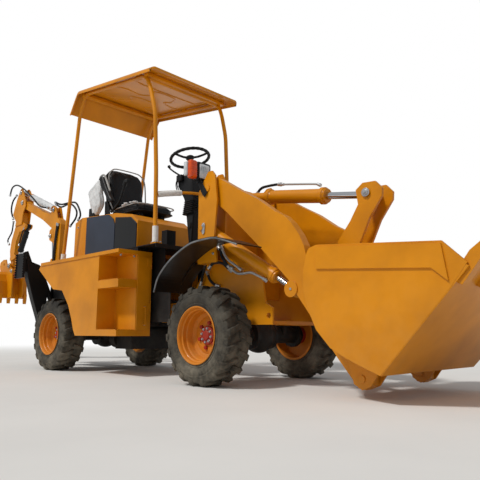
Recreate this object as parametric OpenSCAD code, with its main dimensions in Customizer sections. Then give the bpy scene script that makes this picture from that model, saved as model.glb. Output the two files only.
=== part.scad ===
// Articulated backhoe loader: open canopy, front loader with a Z-bar linkage,
// rear backhoe with two stabilisers, four equal lugged tyres.
// Millimetres. +X forward, +Y to the driver's left, +Z up.
// The ground is z = 0 and the origin lies under the middle of the whole machine.
// Loader low with its bucket rolled back, backhoe raised, stabilisers folded.

/* [Part shown] */
// one sub-part, or all of them

/* [Wheels] */
// outside diameter of a tyre over its lugs
tyre_d = 773; // [740:1:800]
// width of a tyre's section
tyre_w = 264; // [240:1:275]
// height of a lug above the tread's floor
lug_h = 24; // [15:1:32]
// outside diameter of a rim's flange
rim_d = 448; // [440:1:456]
// distance between the two axles
wheelbase = 2467; // [2440:1:2520]
// distance between the middles of the left and right tyres
track = 1180; // [1180:1:1240]

/* [Cab floor and canopy] */
// height of the canopy's roof at its rear bend
roof_z = 3231; // [3050:10:3350]
// width of the canopy's roof
roof_w = 1190; // [1120:10:1300]
// length of the canopy's roof
roof_l = 1692; // [1640:10:1780]
// outside diameter of a canopy post
post_d = 42; // [34:1:50]
// height of the driver's floor
floor_z = 1232; // [1225:1:1260]

/* [Side boxes] */
// distance of a box's outer face from the machine's middle
box_y = 720; // [700:1:740]
// height of a box's top
box_top_z = 1185; // [1170:1:1205]
// height of a box's underside
box_low_z = 372; // [340:1:400]
// thickness of sheet metal panels
sheet_t = 8; // [6:1:10]

/* [Loader] */
// width of the loader bucket
bucket_w = 1310; // [1250:10:1340]
// distance of a loader arm's middle from the machine's middle
arm_y = 386; // [384:1:388]
// thickness of a loader arm
arm_t = 76; // [70:1:80]
// outside diameter of a lift cylinder
lift_d = 100; // [80:1:108]
// outside diameter of the tilt cylinder
tilt_d = 116; // [90:1:124]
// number of teeth on the loader bucket
loader_teeth = 6; // [5:1:8]

/* [Backhoe] */
// width of the digging bucket
digger_w = 440; // [380:10:480]
// thickness of the backhoe's boom
boom_t = 90; // [80:1:96]
// number of teeth on the digging bucket
digger_teeth = 4; // [3:1:5]

/* [Hidden] */
$fn = 48;

// the machine's own drawing has its origin midway between the axles
origin_x = 476;
axle_x = wheelbase/2;
wheel_r = tyre_d/2;
wheel_y = track/2;

// colours
yellow = [0.82, 0.52, 0.03];
dark = [0.10, 0.10, 0.11];
blue_grey = [0.17, 0.20, 0.26];
rubber = [0.13, 0.13, 0.13];
steel = [0.78, 0.79, 0.80];

// pins of the loader, x and z on the machine's side view
arm_pin = [1060, 1640];
lift_pin = [993, 1300];
lift_eye = [1955, 722];
bucket_pin = [2540, 123];
rocker_pin = [2094, 834];
tilt_eye = [2400, 1425];
link_pin = [2016, 535];
bucket_link_pin = [2415, 193];

// pins of the backhoe
swing_x = -2200;
boom_pin = [-2390, 650];
boom_cyl_pin = [-2560, 540];
boom_eye = [-2745, 1745];
dipper_pin = [-3740, 2396];
dipper_cyl_pin = [-2700, 2120];
dipper_eye = [-3820, 2570];
digger_pin = [-4014, 1420];
digger_cyl_pin = [-3615, 2011];
digger_eye = [-3895, 1562];
digger_rocker_pin = [-4036, 1541];
push_pin = [-3905, 1335];

// stabilisers: middle plane, and y and z in that plane
stab_x = -2035;
stab_pin = [-400, 440];
stab_eye = [-490, 1170];
stab_cyl_pin = [-265, 660];

// clearances: pin in its bore, pieces that pass each other
pin_gap = 0.3;
side_gap = 7;

// general builders
// moves a piece from the drawing's origin to the part's origin
module placed() { translate([origin_x, 0, 0]) children(); }

// the same piece on both sides of the machine
module both_sides() { children(); mirror([0, 1, 0]) children(); }

// plate with a side-view outline, from y0 to y1
module side_plate(points, y0, y1)
  translate([0, y1, 0]) rotate([90, 0, 0]) linear_extrude(y1 - y0) polygon(points);

// cylinder across the machine at a side-view point
module cross_pin(p, r, y0, y1)
  translate([p[0], y1, p[1]]) rotate([90, 0, 0]) cylinder(r = r, h = y1 - y0);

// cylinder from side-view point a towards b, starting s0 from a and ending s1 from a
module side_rod(a, b, r, y, s0, s1)
  translate([a[0], y, a[1]]) rotate([0, -atan2(b[1] - a[1], b[0] - a[0]), 0])
    translate([s0, 0, 0]) rotate([0, 90, 0]) cylinder(r = r, h = s1 - s0);

function dist(a, b) = norm([for (i = [0:len(a)-1]) b[i] - a[i]]);

// round bar between two points in space
module bar(a, b, r) {
  v = b - a;
  translate(a) rotate([0, acos(v[2]/norm(v)), atan2(v[1], v[0])]) cylinder(r = r, h = norm(v));
}

function unit(v) = v/norm(v);

// the bend of a tube at point i of its line, that starts d before the point
function bend_at(p, i, d, t) = let(a = p[i] - d*unit(p[i] - p[i-1]), c = p[i] + d*unit(p[i+1] - p[i]))
  (1 - t)*(1 - t)*a + 2*t*(1 - t)*p[i] + t*t*c;
function rounded(p, d, n) = [p[0], for (i = [1:len(p)-2], k = [0:n]) bend_at(p, i, d, k/n), p[len(p)-1]];

// ring of points round a line at its point i, and a tube swept along the line
function tangent(p, i) = unit((i < len(p)-1 ? unit(p[i+1] - p[i]) : [0, 0, 0]) + (i > 0 ? unit(p[i] - p[i-1]) : [0, 0, 0]));
function ring(p, i, r, sides, ref) = let(t = tangent(p, i), n = unit(cross(ref, t)), b = cross(t, n))
  [for (k = [0:sides-1]) p[i] + r*(cos(360*k/sides)*n + sin(360*k/sides)*b)];
module swept(p, r, sides, ref = [0, 1, 0]) {
  last = len(p) - 1;
  wall = [for (i = [0:last-1], k = [0:sides-1]) let(a = i*sides + k, b = i*sides + (k + 1)%sides)
    each [[a, b + sides, b], [a, a + sides, b + sides]]];
  polyhedron(points = [for (i = [0:last]) each ring(p, i, r, sides, ref)],
    faces = concat([[for (k = [0:sides-1]) k], [for (k = [sides-1:-1:0]) last*sides + k]], wall), convexity = 6);
}

// directions along a line of points, and the points moved sideways by d
function heading(p, i) = unit(i < len(p) - 1 ? p[i+1] - p[i] : p[i] - p[i-1]);
function beside(p, i, d) = let(a = heading(p, max(i - 1, 0)), b = heading(p, i),
  n = unit([-a[1] - b[1], a[0] + b[0]])) p[i] + n*d/(n*[-a[1], a[0]]);
// the same line with rounded bends, n steps between its points
function curve_at(p, i, t) = let(a = p[max(i-1, 0)], b = p[i], c = p[i+1], d = p[min(i+2, len(p)-1)])
  0.5*(2*b + (c - a)*t + (2*a - 5*b + 4*c - d)*t*t + (3*b - a - 3*c + d)*t*t*t);
function smooth(p, n) = [for (i = [0:len(p)-2], k = [0:n-1]) curve_at(p, i, k/n), p[len(p)-1]];

// sheet bent along a side-view line, thickness t
module sheet_line(points, t, y0, y1)
  translate([0, y1, 0]) rotate([90, 0, 0]) linear_extrude(y1 - y0)
    polygon([for (i = [0:len(points)-1]) beside(points, i, t/2), for (i = [len(points)-1:-1:0]) beside(points, i, -t/2)]);

// wheels
// one tyre as a closed mesh: 18 lugs a side, the two rows half a pitch apart
lugs = 18;
// the bead sits on the rim's seat, allowing for the flats between columns
rim_seat = 14;
bead_r = (rim_d/2 - rim_seat + 0.1)/cos(4.5);
// rows of the tyre's section: half width, radius, row of lugs (0 none, 1 outer, 2 inner), sweep
tyre_section = [
  [-tyre_w/2 + 20, bead_r, 0, 0],
  [-tyre_w/2, wheel_r - 92, 0, 0],
  [-tyre_w/2 + 10, wheel_r - 32, 0, 0],
  [-tyre_w/2 + 24, wheel_r, 1, 5],
  [-6, wheel_r, 1, 0],
  [6, wheel_r, 2, 0],
  [tyre_w/2 - 24, wheel_r, 2, 5],
  [tyre_w/2 - 10, wheel_r - 32, 0, 0],
  [tyre_w/2, wheel_r - 92, 0, 0],
  [tyre_w/2 - 20, bead_r, 0, 0]];

// angles of the four columns of one pitch and whether row 1 or row 2 stands up there
tyre_columns = [[0, 1, 0], [9, 1, 0], [11, 0, 1], [19.9, 0, 1]];

module tyre_at(x, y) {
  rows = len(tyre_section);
  cols = 4*lugs;
  pts = [for (c = [0:cols-1], r = [0:rows-1])
    let (q = tyre_section[r], k = tyre_columns[c % 4],
      up = q[2] == 0 ? 0 : k[q[2]],
      rr = q[2] == 0 ? q[1] : q[1] - (1 - up)*lug_h,
      a = 360/lugs*floor(c/4) + k[0]*18/lugs + q[3])
    [rr*sin(a), q[0], rr*cos(a)]];
  faces = [for (c = [0:cols-1], r = [0:rows-1])
    let (c2 = (c + 1) % cols, r2 = (r + 1) % rows)
    each [[c*rows + r, c2*rows + r2, c*rows + r2], [c*rows + r, c2*rows + r, c2*rows + r2]]];
  placed() color(rubber) translate([x, y, wheel_r]) polyhedron(points = pts, faces = faces, convexity = 8);
}

// rim with its deep dish and hub; side is -1 on the right and 1 on the left
hub_r = 75;
hub_back = 60;
module rim_at(x, y, side) {
  f = rim_d/2;
  placed() color(yellow) translate([x, y, wheel_r]) rotate([side*-90, 0, 0]) {
    rotate_extrude($fn = 96) polygon([
      [f - 22, -128], [f, -128], [f, -121], [f - rim_seat, -118], [f - rim_seat, 118], [f, 121],
      [f, 128], [f - 22, 128], [f - 24, 60], [f - 40, -6], [f - 48, -12], [hub_r - 6, -12],
      [hub_r - 6, -26], [f - 40, -26], [f - 26, -60]]);
    translate([0, 0, -hub_back]) cylinder(r = hub_r, h = hub_back + 4);
    translate([0, 0, 4]) cylinder(r = 48, h = 14);
    for (i = [0:7]) rotate(45*i) translate([hub_r - 14, 0, 4]) cylinder(r = 9, h = 12);
  }
}

// seats of the axle under the frame's saddles
pad_y = 270;
seat_z = wheel_r + 84;
// axle from hub to hub with its differential
module axle_at(x) {
  placed() color(dark) translate([x, 0, wheel_r]) {
    rotate([90, 0, 0]) cylinder(r = 62, h = 2*(wheel_y - 150), center = true);
    sphere(r = 150);
    rotate([90, 0, 0]) cylinder(r = 120, h = 260, center = true);
    for (s = [-1, 1]) translate([0, s*(wheel_y - 130), 0]) rotate([90, 0, 0])
      cylinder(r = 105, h = 40, center = true);
    // hubs, up to the wheels' own hubs
    rotate([90, 0, 0]) cylinder(r = 70, h = 2*(wheel_y - hub_back - pin_gap), center = true);
    // seats for the frame
    for (s = [-1, 1]) translate([-80, s*pad_y - 30, 0]) cube([160, 60, seat_z - wheel_r]);
  }
}

// rear half
rail_y = 300;
pivot_x = 0;
pivot_r = 30;
// half width of a stabiliser leg, and the two plates it swings between
leg_half = 46;
stab_gap = leg_half + 5;
stab_plate = 20;
frame_rear = stab_x - stab_gap - stab_plate;
engine_z = 741;
// room for an open door's handle beside the panels under the floor
handle_room = 31;
front_panel_t = 8;
module rear_chassis() placed() color(dark) {
  // two frame rails
  both_sides() side_plate([[stab_x + stab_gap + 1, 480], [-1640, 470], [-1400, 475], [-900, 475], [-860, 440], [60, 440], [60, 740], [-700, 740], [-1000, 860], [-1740, 980], [stab_x + stab_gap + 1, 980]],
    -rail_y - 20, -rail_y);
  // cross beams, two of them carry the engine
  for (x = [-1780, -1300, -760]) translate([x, -rail_y - 1, engine_z - 61]) cube([40, 2*rail_y + 2, 61]);
  for (x = [-600, -400]) translate([x, -rail_y - 1, 440]) cube([40, 2*rail_y + 2, 30]);
  // axle saddles
  both_sides() side_plate([[-axle_x - 90, seat_z], [-axle_x + 90, seat_z], [-axle_x + 60, 600], [-axle_x - 60, 600]], -rail_y - 10, -pad_y + 25);
  // forks and pin of the centre joint
  for (z = [470, 700]) {
    translate([pivot_x, 0, z]) cylinder(r = 95, h = 30);
    translate([-180, -rail_y - 1, z]) cube([110, 2*rail_y + 2, 30]);
    translate([-180, -95, z]) cube([180, 190, 30]);
  }
  translate([pivot_x, 0, 460]) cylinder(r = pivot_r - pin_gap, h = 280);
  // panels beside the centre joint that carry the front of the floor
  both_sides() translate([60, -box_in + handle_room, 503]) cube([330, front_panel_t, 288]);
  both_sides() translate([60, -box_in + handle_room, 700]) cube([230, front_panel_t, floor_z - 700 - sheet_t]);
  both_sides() translate([-20, -box_in, 500]) cube([82, box_in - rail_y, 240]);
  // outriggers to the side boxes
  for (x = [-500, -20]) both_sides() translate([x, -box_in, 640]) cube([60, box_in - rail_y, 90]);
  // gearbox housing under the right step
  translate([-620, -250, 236]) cube([300, 500, 210]);
  translate([-700, -190, 340]) rotate([0, 90, 0]) cylinder(r = 95, h = 100);
  // backhoe frame: two plates with the stabilisers between them
  for (x = [stab_x + stab_gap, frame_rear]) cross_plate([[-455, 385], [-455, 500], [-330, 620], [-300, 1000], [300, 1000], [330, 620], [455, 500], [455, 385]], x, x + stab_plate);
  for (z = [440, 980]) translate([stab_x - stab_gap - 1, -295, z]) cube([2*stab_gap + 2, 590, 20]);
  both_sides() translate([stab_x - stab_gap - 1, -220, 450]) cube([2*stab_gap + 2, 20, 540]);
  both_sides() {
    along_x(stab_pin, 22, stab_gap + stab_plate + 6);
    along_x(stab_cyl_pin, 17, stab_gap + stab_plate + 6);
  }
  // brackets and pin of the swing post
  for (z = [500, 960]) {
    translate([swing_x, -90, z]) cube([frame_rear - swing_x + 2, 180, 40]);
    translate([swing_x, 0, z]) cylinder(r = 90, h = 40);
  }
  translate([swing_x, 0, 494]) cylinder(r = pivot_r - pin_gap, h = 512);
}

module rear_axle() axle_at(-axle_x);
module front_axle() axle_at(axle_x);

module engine_block() placed() color(dark) translate([-1380, -190, engine_z]) cube([760, 380, 620]);

hood_y = 350;
hood_rear = -1457;
hood_front = -140;
// heights along the top of the hood
hood_top = [[hood_rear, 1700], [-1300, 1745], [-560, 1690], [-250, 1630], [hood_front, 1550]];
function hood_z(x) = lookup(x, hood_top);
module engine_hood() placed() color(yellow) difference() {
  side_plate(concat([[hood_rear, box_top_z]], hood_top, [[hood_front, box_top_z]]), -hood_y, hood_y);
  side_plate([[hood_rear + sheet_t, box_top_z - 1], [hood_rear + sheet_t, 1694], [-1299, 1737], [-561, 1682], [-254, 1622], [hood_front - sheet_t, 1546], [hood_front - sheet_t, box_top_z - 1]],
    -hood_y + sheet_t, hood_y - sheet_t);
}
module hood_side_panels() placed() color(blue_grey) both_sides() {
  side_plate([[-1168, box_top_z + 16], [-1168, 1726], [-700, 1692], [-600, 1630], [-562, 1560], [-562, box_top_z + 16]], -hood_y - 14, -hood_y);
  side_plate([[-556, floor_z + 4], [-556, 1640], [-260, 1600], [-150, 1520], [-150, floor_z + 4]], -hood_y - 10, -hood_y);
}

box_front = 123;
box_rear = -1498;
box_in = 345;
step_x = -235;
step_y = 517;
tread_z = 900;
step_low = 428;
box_line = [[box_rear, box_top_z], [box_rear - 60, box_top_z - 70], [-1178, 870], [-970, 845], [-817, 686], [-737, 550], [-681, 428], [-640, box_low_z], [box_front, box_low_z], [box_front, box_top_z]];
box_core = [[box_rear + 12, box_top_z - sheet_t], [box_rear - 44, box_top_z - 70], [-1172, 880], [-962, 855], [-808, 690], [-728, 552], [-673, 434], [-634, box_low_z + sheet_t], [box_front - sheet_t, box_low_z + sheet_t], [box_front - sheet_t, box_top_z - sheet_t]];
// corner recess with its two treads
module step_recess(g)
  translate([step_x - g, -box_y - 50, step_low - g]) cube([box_front - step_x + g + 40, box_y + 50 - step_y + g, box_top_z - 35 - step_low + 2*g]);
module side_boxes() placed() color(yellow) both_sides() {
  difference() {
    side_plate(box_line, -box_y, -box_in);
    difference() {
      side_plate(box_core, -box_y + sheet_t, -box_in - sheet_t);
      step_recess(sheet_t);
    }
    step_recess(0);
    // doorway behind the front door
    translate([box_front - 20, -step_y + 22, box_low_z + 80]) cube([40, step_y - box_in - 44, box_top_z - box_low_z - 150]);
  }
  // tread in the recess
  translate([step_x - 1, -box_y, tread_z - 75]) cube([box_front - step_x + 1, box_y - step_y + 1, 75]);
  // fixed knuckles of the door's hinges
  for (z = knuckle_z, e = [-knuckle_h/3 - pin_gap, knuckle_h + pin_gap]) translate([0, 0, z + e]) {
    translate([door_hinge[0], -door_hinge[1], 0]) cylinder(r = 6, h = knuckle_h/3, $fn = 24);
    translate([box_front - 1, -door_hinge[1], 0]) cube([door_hinge[0] - box_front + 1, 6, knuckle_h/3]);
  }
  // lip round the top
  side_plate([[box_rear, box_top_z - 34], [box_rear, box_top_z], [box_front, box_top_z], [box_front, box_top_z - 34]], -box_y - 10, -box_y + 1);
}

// front doors of the boxes, hinged near the middle of the machine
door_gap = 5;
door_hinge = [box_front + 9, box_in + 12];
knuckle_z = [620, 1045];
knuckle_h = 66;
module box_door(side) placed() color(yellow) mirror([0, side > 0 ? 1 : 0, 0]) {
  translate([box_front + 3, -step_y + door_gap, box_low_z + 55]) cube([sheet_t, step_y - box_in - door_gap - 24, box_top_z - box_low_z - 110]);
  for (z = knuckle_z) {
    translate([door_hinge[0], -door_hinge[1], z]) cylinder(r = 6, h = knuckle_h, $fn = 24);
    translate([box_front + 10, -door_hinge[1] - 45, z]) cube([6, 42, knuckle_h]);
  }
  // pull handle
  for (z = [476, 637]) translate([box_front + 10, -436, z]) cube([32, 12, 12]);
  translate([box_front + 36, -436, 476]) cube([10, 12, 173]);
}
module box_door_right() box_door(-1);
module box_door_left() box_door(1);

floor_front = 400;
floor_y = 505;
module floor_plate() placed() color(dark) {
  translate([hood_front, -floor_y, floor_z - sheet_t]) cube([floor_front - hood_front, 2*floor_y, sheet_t]);
  both_sides() {
    translate([-560, -floor_y, floor_z - sheet_t]) cube([-hood_front + 561 - 280, floor_y - hood_y, sheet_t]);
    // supports on the boxes
    translate([-500, -500, box_top_z]) cube([600, 120, floor_z - box_top_z - 1]);
  }
  // turned-down front edge
  translate([floor_front - 8, -floor_y, floor_z - 40]) cube([8, 2*floor_y, 40]);
}

// seat: base box, cushion and backrest
module operator_seat() placed() color(dark) {
  side_plate([[-960, hood_z(-960)], [-560, hood_z(-560)], [-300, hood_z(-300)], [-300, 1800], [-960, 1800]], -190, 190);
  side_plate([[-1000, 1795], [-1000, 1930], [-900, 1975], [-420, 1985], [-270, 1950], [-245, 1880], [-270, 1795]], -250, 250);
  side_plate([[-960, 1850], [-1075, 2250], [-1060, 2340], [-1000, 2362], [-940, 2330], [-905, 2240], [-840, 1940]], -245, 245);
}

module control_levers() placed() color(dark) both_sides() {
  side_plate([[-1200, hood_z(-1200) + pin_gap], [-1060, hood_z(-1060) + pin_gap], [-1060, 1840], [-1180, 1850]], -338, -262);
  bar([-1110, -300, 1830], [-1125, -300, 2050], 9);
  translate([-1125, -300, 2050]) sphere(r = 24);
}

// the canopy's roof falls towards the front and ends in a skirt at the rear
roof_front = 371;
roof_fall = 235;
skirt_run = 178;
roof_bend = roof_front - roof_l + skirt_run;
skirt_drop = 246;
roof_t = 6;
roof_round = 45;
roof_edge = 58;
roof_slope = roof_fall/(roof_front - roof_bend);
function roof_at(x) = roof_z - (x - roof_bend)*roof_slope;
function rail_at(x) = roof_at(x) - roof_t - post_d/2 - 9;
// one bent tube a side makes the front post, the rail and the rear post
rail_front = 138;
rail_rear = -1096;
canopy_line = [[352, 482, floor_z + 6], [325, 475, 1950], [288, 481, 2560], [rail_front + 74, 490, rail_at(rail_front) - 158],
  [rail_front, 502, rail_at(rail_front)], [rail_rear, 503, rail_at(rail_rear)], [rail_rear - 122, 497, rail_at(rail_rear) - 208],
  [-1470, 480, box_top_z + 6]];
canopy_bend = 70;
handrail = [[330, -470, 1716], [400, -290, 1750], [448, -120, 1772], [458, 0, 1776], [448, 120, 1772], [400, 290, 1750], [330, 470, 1716]];
module canopy_posts() placed() color(yellow) {
  both_sides() {
    swept(rounded(canopy_line, canopy_bend, 3), post_d/2, 16);
    // foot plates
    translate([307, 432, floor_z]) cube([85, 72, 12]);
    translate([-1520, 430, box_top_z]) cube([100, 100, 12]);
    // pads under the roof
    for (x = [rail_rear + 60, -520, rail_front - 160]) side_plate([[x, rail_at(x)], [x + 70, rail_at(x + 70)],
      [x + 70, roof_at(x + 70) - roof_t - pin_gap], [x, roof_at(x) - roof_t - pin_gap]], 488, 518);
  }
  // cross tubes at the upper bends, and the handrail between the front posts
  for (i = [4, 5]) {
    p = bend_at(canopy_line, i, canopy_bend, 0.5);
    swept([[p[0], -p[1], p[2]], p], post_d/2 - 3, 16, [0, 0, 1]);
  }
  swept(smooth(handrail, 2), 15, 12, [0, 0, 1]);
}

// moulded shell of the roof: a channel with rounded edges, mitred at the rear bend
module roof_profile(w, r) {
  polygon(concat([[-w, -roof_edge]], [for (a = [180:-15:90]) [-w + r + r*cos(a), -r + r*sin(a)]],
    [for (a = [90:-15:0]) [w - r + r*cos(a), -r + r*sin(a)]], [[w, -roof_edge]]));
}
module roof_run(a, b, before, after) difference() {
  l = dist(a, b);
  translate([a[0], 0, a[1]]) rotate([0, -atan2(b[1] - a[1], b[0] - a[0]), 0]) rotate([90, 0, 90])
    translate([0, 0, -before]) linear_extrude(l + before + after) difference() {
      roof_profile(roof_w/2, roof_round);
      translate([0, -roof_t]) roof_profile(roof_w/2 - roof_t, roof_round - roof_t);
      translate([-roof_w/2 - 1, -roof_edge - roof_t]) square([roof_w + 2, roof_t]);
    }
  children();
}
module canopy_roof() placed() color(yellow) {
  top = [roof_bend, roof_z];
  front = [roof_front, roof_z - roof_fall];
  rear = [roof_bend - skirt_run, roof_z - skirt_drop];
  mitre = (atan2(skirt_drop, skirt_run) + atan2(-roof_fall, roof_front - roof_bend))/2;
  roof_run(top, front, 40, 0)
    translate([top[0], 0, top[1]]) rotate([0, -mitre, 0]) translate([-400, -roof_w, -300]) cube([400, 2*roof_w, 600]);
  roof_run(rear, top, 0, 40)
    translate([top[0], 0, top[1]]) rotate([0, -mitre, 0]) translate([0, -roof_w, -300]) cube([400, 2*roof_w, 600]);
  // lips of the front and rear edges
  side_plate([front, front - [0, 26], front - [roof_t, 26], front - [roof_t, 2]], -roof_w/2 + roof_round, roof_w/2 - roof_round);
}

// foot, bellows and head of the steering column
wheel_centre = [257, 0, 2209];
wheel_tilt = 14;
wheel_hub = 26;
wheel_axis = [-sin(wheel_tilt), 0, cos(wheel_tilt)];
column_top = wheel_centre - (wheel_hub/2 + 2*pin_gap)*wheel_axis;
module steering_console() placed() color(dark) {
  side_plate([[366, floor_z], [floor_front, floor_z], [428, 1590], [309, 1590]], -70, 70);
  side_plate([[298, 1585], [430, 1585], [426, 1715], [288, 1715]], -78, 78);
  side_plate([[286, 1705], [428, 1705], [398, 1985], [280, 2050], [165, 1965], [163, 1905], [262, 1760]], -72, 72);
  bar(column_top - 220*wheel_axis, column_top, 20);
  // pedal box
  translate([60, -190, floor_z]) cube([90, 110, 200]);
}

module steering_wheel() placed() color(dark) translate(wheel_centre) rotate([0, -wheel_tilt, 0]) {
  rotate_extrude($fn = 64) translate([200, 0]) circle(r = 14, $fn = 24);
  cylinder(r = 38, h = wheel_hub, center = true);
  for (a = [0, 120, 240]) rotate(a) translate([30, -14, -6]) cube([160, 28, 12]);
}

// front half
arm_in = arm_y - arm_t/2;
arm_out = arm_y + arm_t/2;
tower_t = 18;
tower_out = 462;
tower_in = 330;
tower_rear = 950;
tilt_half = tilt_d/2 + 4;
module front_frame() placed() color(yellow) {
  both_sides() {
    // outer tower plate
    side_plate([[tower_rear, 1000], [tower_rear, 1620], [1070, 1785], [1120, 1785], [1158, 1740], [1188, 1520], [1156, 1200], [1190, 1000]],
      -tower_out, -tower_out + tower_t);
    // inner plate runs from the tower down to the axle and forward to the nose
    difference() {
      side_plate([[860, 470], [760, 560], [760, 760], [915, 1000], [915, 1680], [1055, 1785], [1105, 1785], [1130, 1740], [1156, 1482], [1150, 1230], [1270, 1100], [1575, 900], [1615, 640], [1690, 600], [1690, 470]],
        -tower_in, -tower_in + tower_t);
      cross_pin(tie_hole, tie_r, -tower_in - 1, -tower_in + tower_t + 1);
    }
    // web between the plates at the back of the tower and shelf for the fender
    translate([tower_rear, -tower_out + 1, 1000]) cube([18, tower_out - tower_in, 190]);
    translate([tower_rear + 1, -tower_out + 1, 985]) cube([1186 - tower_rear, tower_out - tower_in, 18]);
    // pins of the arm and of the lift cylinder
    cross_pin(arm_pin, 34, -tower_out - 8, -tower_in + tower_t - 1);
    cross_pin(lift_pin, 26, -tower_out - 12, -tower_in + tower_t - 1);
    // pin of the tilt cylinder between two tubes
    cross_pin(arm_pin, 45, -tower_in + tower_t - 4, -tilt_half - 8);
  }
  cross_pin(arm_pin, 29.5, -tilt_half - 20, tilt_half + 20);
  // cross members
  translate([915, -tower_in + 1, 1100]) cube([20, 2*tower_in - 2, 500]);
  translate([1180, -tower_in + 1, 700]) cube([20, 2*tower_in - 2, 240]);
  translate([1640, -tower_in + 1, 470]) cube([20, 2*tower_in - 2, 30]);
  translate([760, -tower_in + 1, 560]) cube([20, 2*tower_in - 2, 190]);
  // neck to the centre joint
  difference() {
    union() {
      side_plate([[-60, 505], [120, 505], [780, 545], [780, 740], [120, 695], [-60, 695]], -70, 70);
      translate([pivot_x, 0, 505]) cylinder(r = 90, h = 190);
    }
    translate([pivot_x, 0, 500]) cylinder(r = pivot_r, h = 200);
  }
  // axle saddles
  both_sides() side_plate([[axle_x - 90, seat_z], [axle_x + 90, seat_z], [axle_x + 110, 520], [axle_x - 110, 520]], -tower_in + 2, -pad_y + 25);
}
// hole in the nose where the machine is tied down
tie_hole = [1650, 540];
tie_r = 22;

// arched sheet over the wheel
fender_line = [[700, 750], [745, 860], [828, 945], [920, 1010], [1023, 1062], [1120, 1100], [1211, 1122], [1413, 1130], [1526, 1108], [1700, 1050]];
module front_fenders() placed() color(dark) both_sides()
  sheet_line(smooth(fender_line, 4), 10, -732, -tower_out);

// lamp with the turn signal beside it, on a strip bolted over the head of the arm's pin
lamp_front = 985;
lamp_z = 1732;
module work_lamps() placed() color(dark) {
  face = -tower_out - 8;
  translate([lamp_front - 85, -492, lamp_z]) cube([85, 144, 160]);
  translate([lamp_front - 72, -600, lamp_z + 8]) cube([66, 109, 146]);
  side_plate([[930, lamp_z + 1], [985, lamp_z + 1], [1075, 1600], [1045, 1560], [1020, 1580]], face - 8, face);
  cross_pin([1045, 1600], 13, face - 18, face - 7);
}

// loader
arm_line = [[988, 1672], [1010, 1722], [1055, 1746], [1110, 1738], [1177, 1712], [1421, 1564], [1623, 1452], [1801, 1327], [1900, 1273], [1958, 1218], [2032, 1119], [2076, 1032], [2093, 965],
  [2190, 700], [2235, 560], [2300, 420], [2400, 300], [2560, 190], [2606, 140], [2596, 85], [2550, 55], [2500, 62], [2344, 245], [2014, 669], [1932, 789], [1846, 869], [1644, 1065], [1423, 1262], [1280, 1392], [1156, 1490], [1070, 1540], [1005, 1600]];
// the tube between the arms carries the ears of the rocker
arm_tube = [1920, 945];
rocker_in = tilt_d/2 + 6;
rocker_t = 24;
rocker_out = rocker_in + rocker_t;
module loader_arms() placed() color(yellow) {
  both_sides() difference() {
    union() {
      side_plate(arm_line, -arm_out, -arm_in);
      cross_pin(lift_eye, 60, -arm_out - 8, -arm_in + 8);
    }
    // slot for the lift rod's eye
    translate([lift_eye[0] - 110, -arm_y - 30, lift_eye[1] - 95]) cube([200, 60, 190]);
    translate([lift_eye[0] - 140, -arm_y - 30, lift_eye[1] + 20]) cube([130, 60, 140]);
    cross_pin(arm_pin, 34 + pin_gap, -arm_out - 1, -arm_in + 1);
  }
  // bucket pins
  both_sides() cross_pin(bucket_pin, 25, -arm_y - 70, -arm_y + 70);
  // tube between the arms, ears and pin of the rocker
  cross_pin(arm_tube, 60, -arm_in - 4, arm_in + 4);
  both_sides() side_plate([[1890, 890], [1930, 1000], [2110, 895], [2158, 850], [2150, 800], [2100, 770], [2040, 790]], -rocker_out - 29, -rocker_out - side_gap);
  cross_pin(rocker_pin, 25, -rocker_out - 34, rocker_out + 34);
}

module loader_rocker() placed() color(yellow) {
  difference() {
    union() {
      both_sides() side_plate([[2310, 1460], [2370, 1505], [2476, 1500], [2530, 1440], [2525, 1380], [2420, 1240], [2330, 1060], [2235, 870], [2190, 760], [2090, 530], [2060, 480], [2016, 465], [1965, 485], [1950, 535], [1975, 640], [2040, 860], [2149, 1105], [2252, 1230], [2326, 1348]],
        -rocker_out, -rocker_in);
      cross_pin(rocker_pin, 50, -rocker_in - 1, rocker_in + 1);
    }
    cross_pin(rocker_pin, 25 + pin_gap, -rocker_out - 1, rocker_out + 1);
  }
  cross_pin(link_pin, 25, -rocker_out - 8, rocker_out + 8);
  cross_pin(tilt_eye, 18, -rocker_out - 8, rocker_out + 8);
}

module loader_bucket_link() placed() color(yellow) difference() {
  union() {
    side_rod(link_pin, bucket_link_pin, 34, 0, 20, dist(link_pin, bucket_link_pin) - 10);
    cross_pin(link_pin, 45, -rocker_in + 6, rocker_in - 6);
    cross_pin(bucket_link_pin, 42, -40, 40);
  }
  cross_pin(link_pin, 25 + pin_gap, -rocker_in, rocker_in);
}

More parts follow.
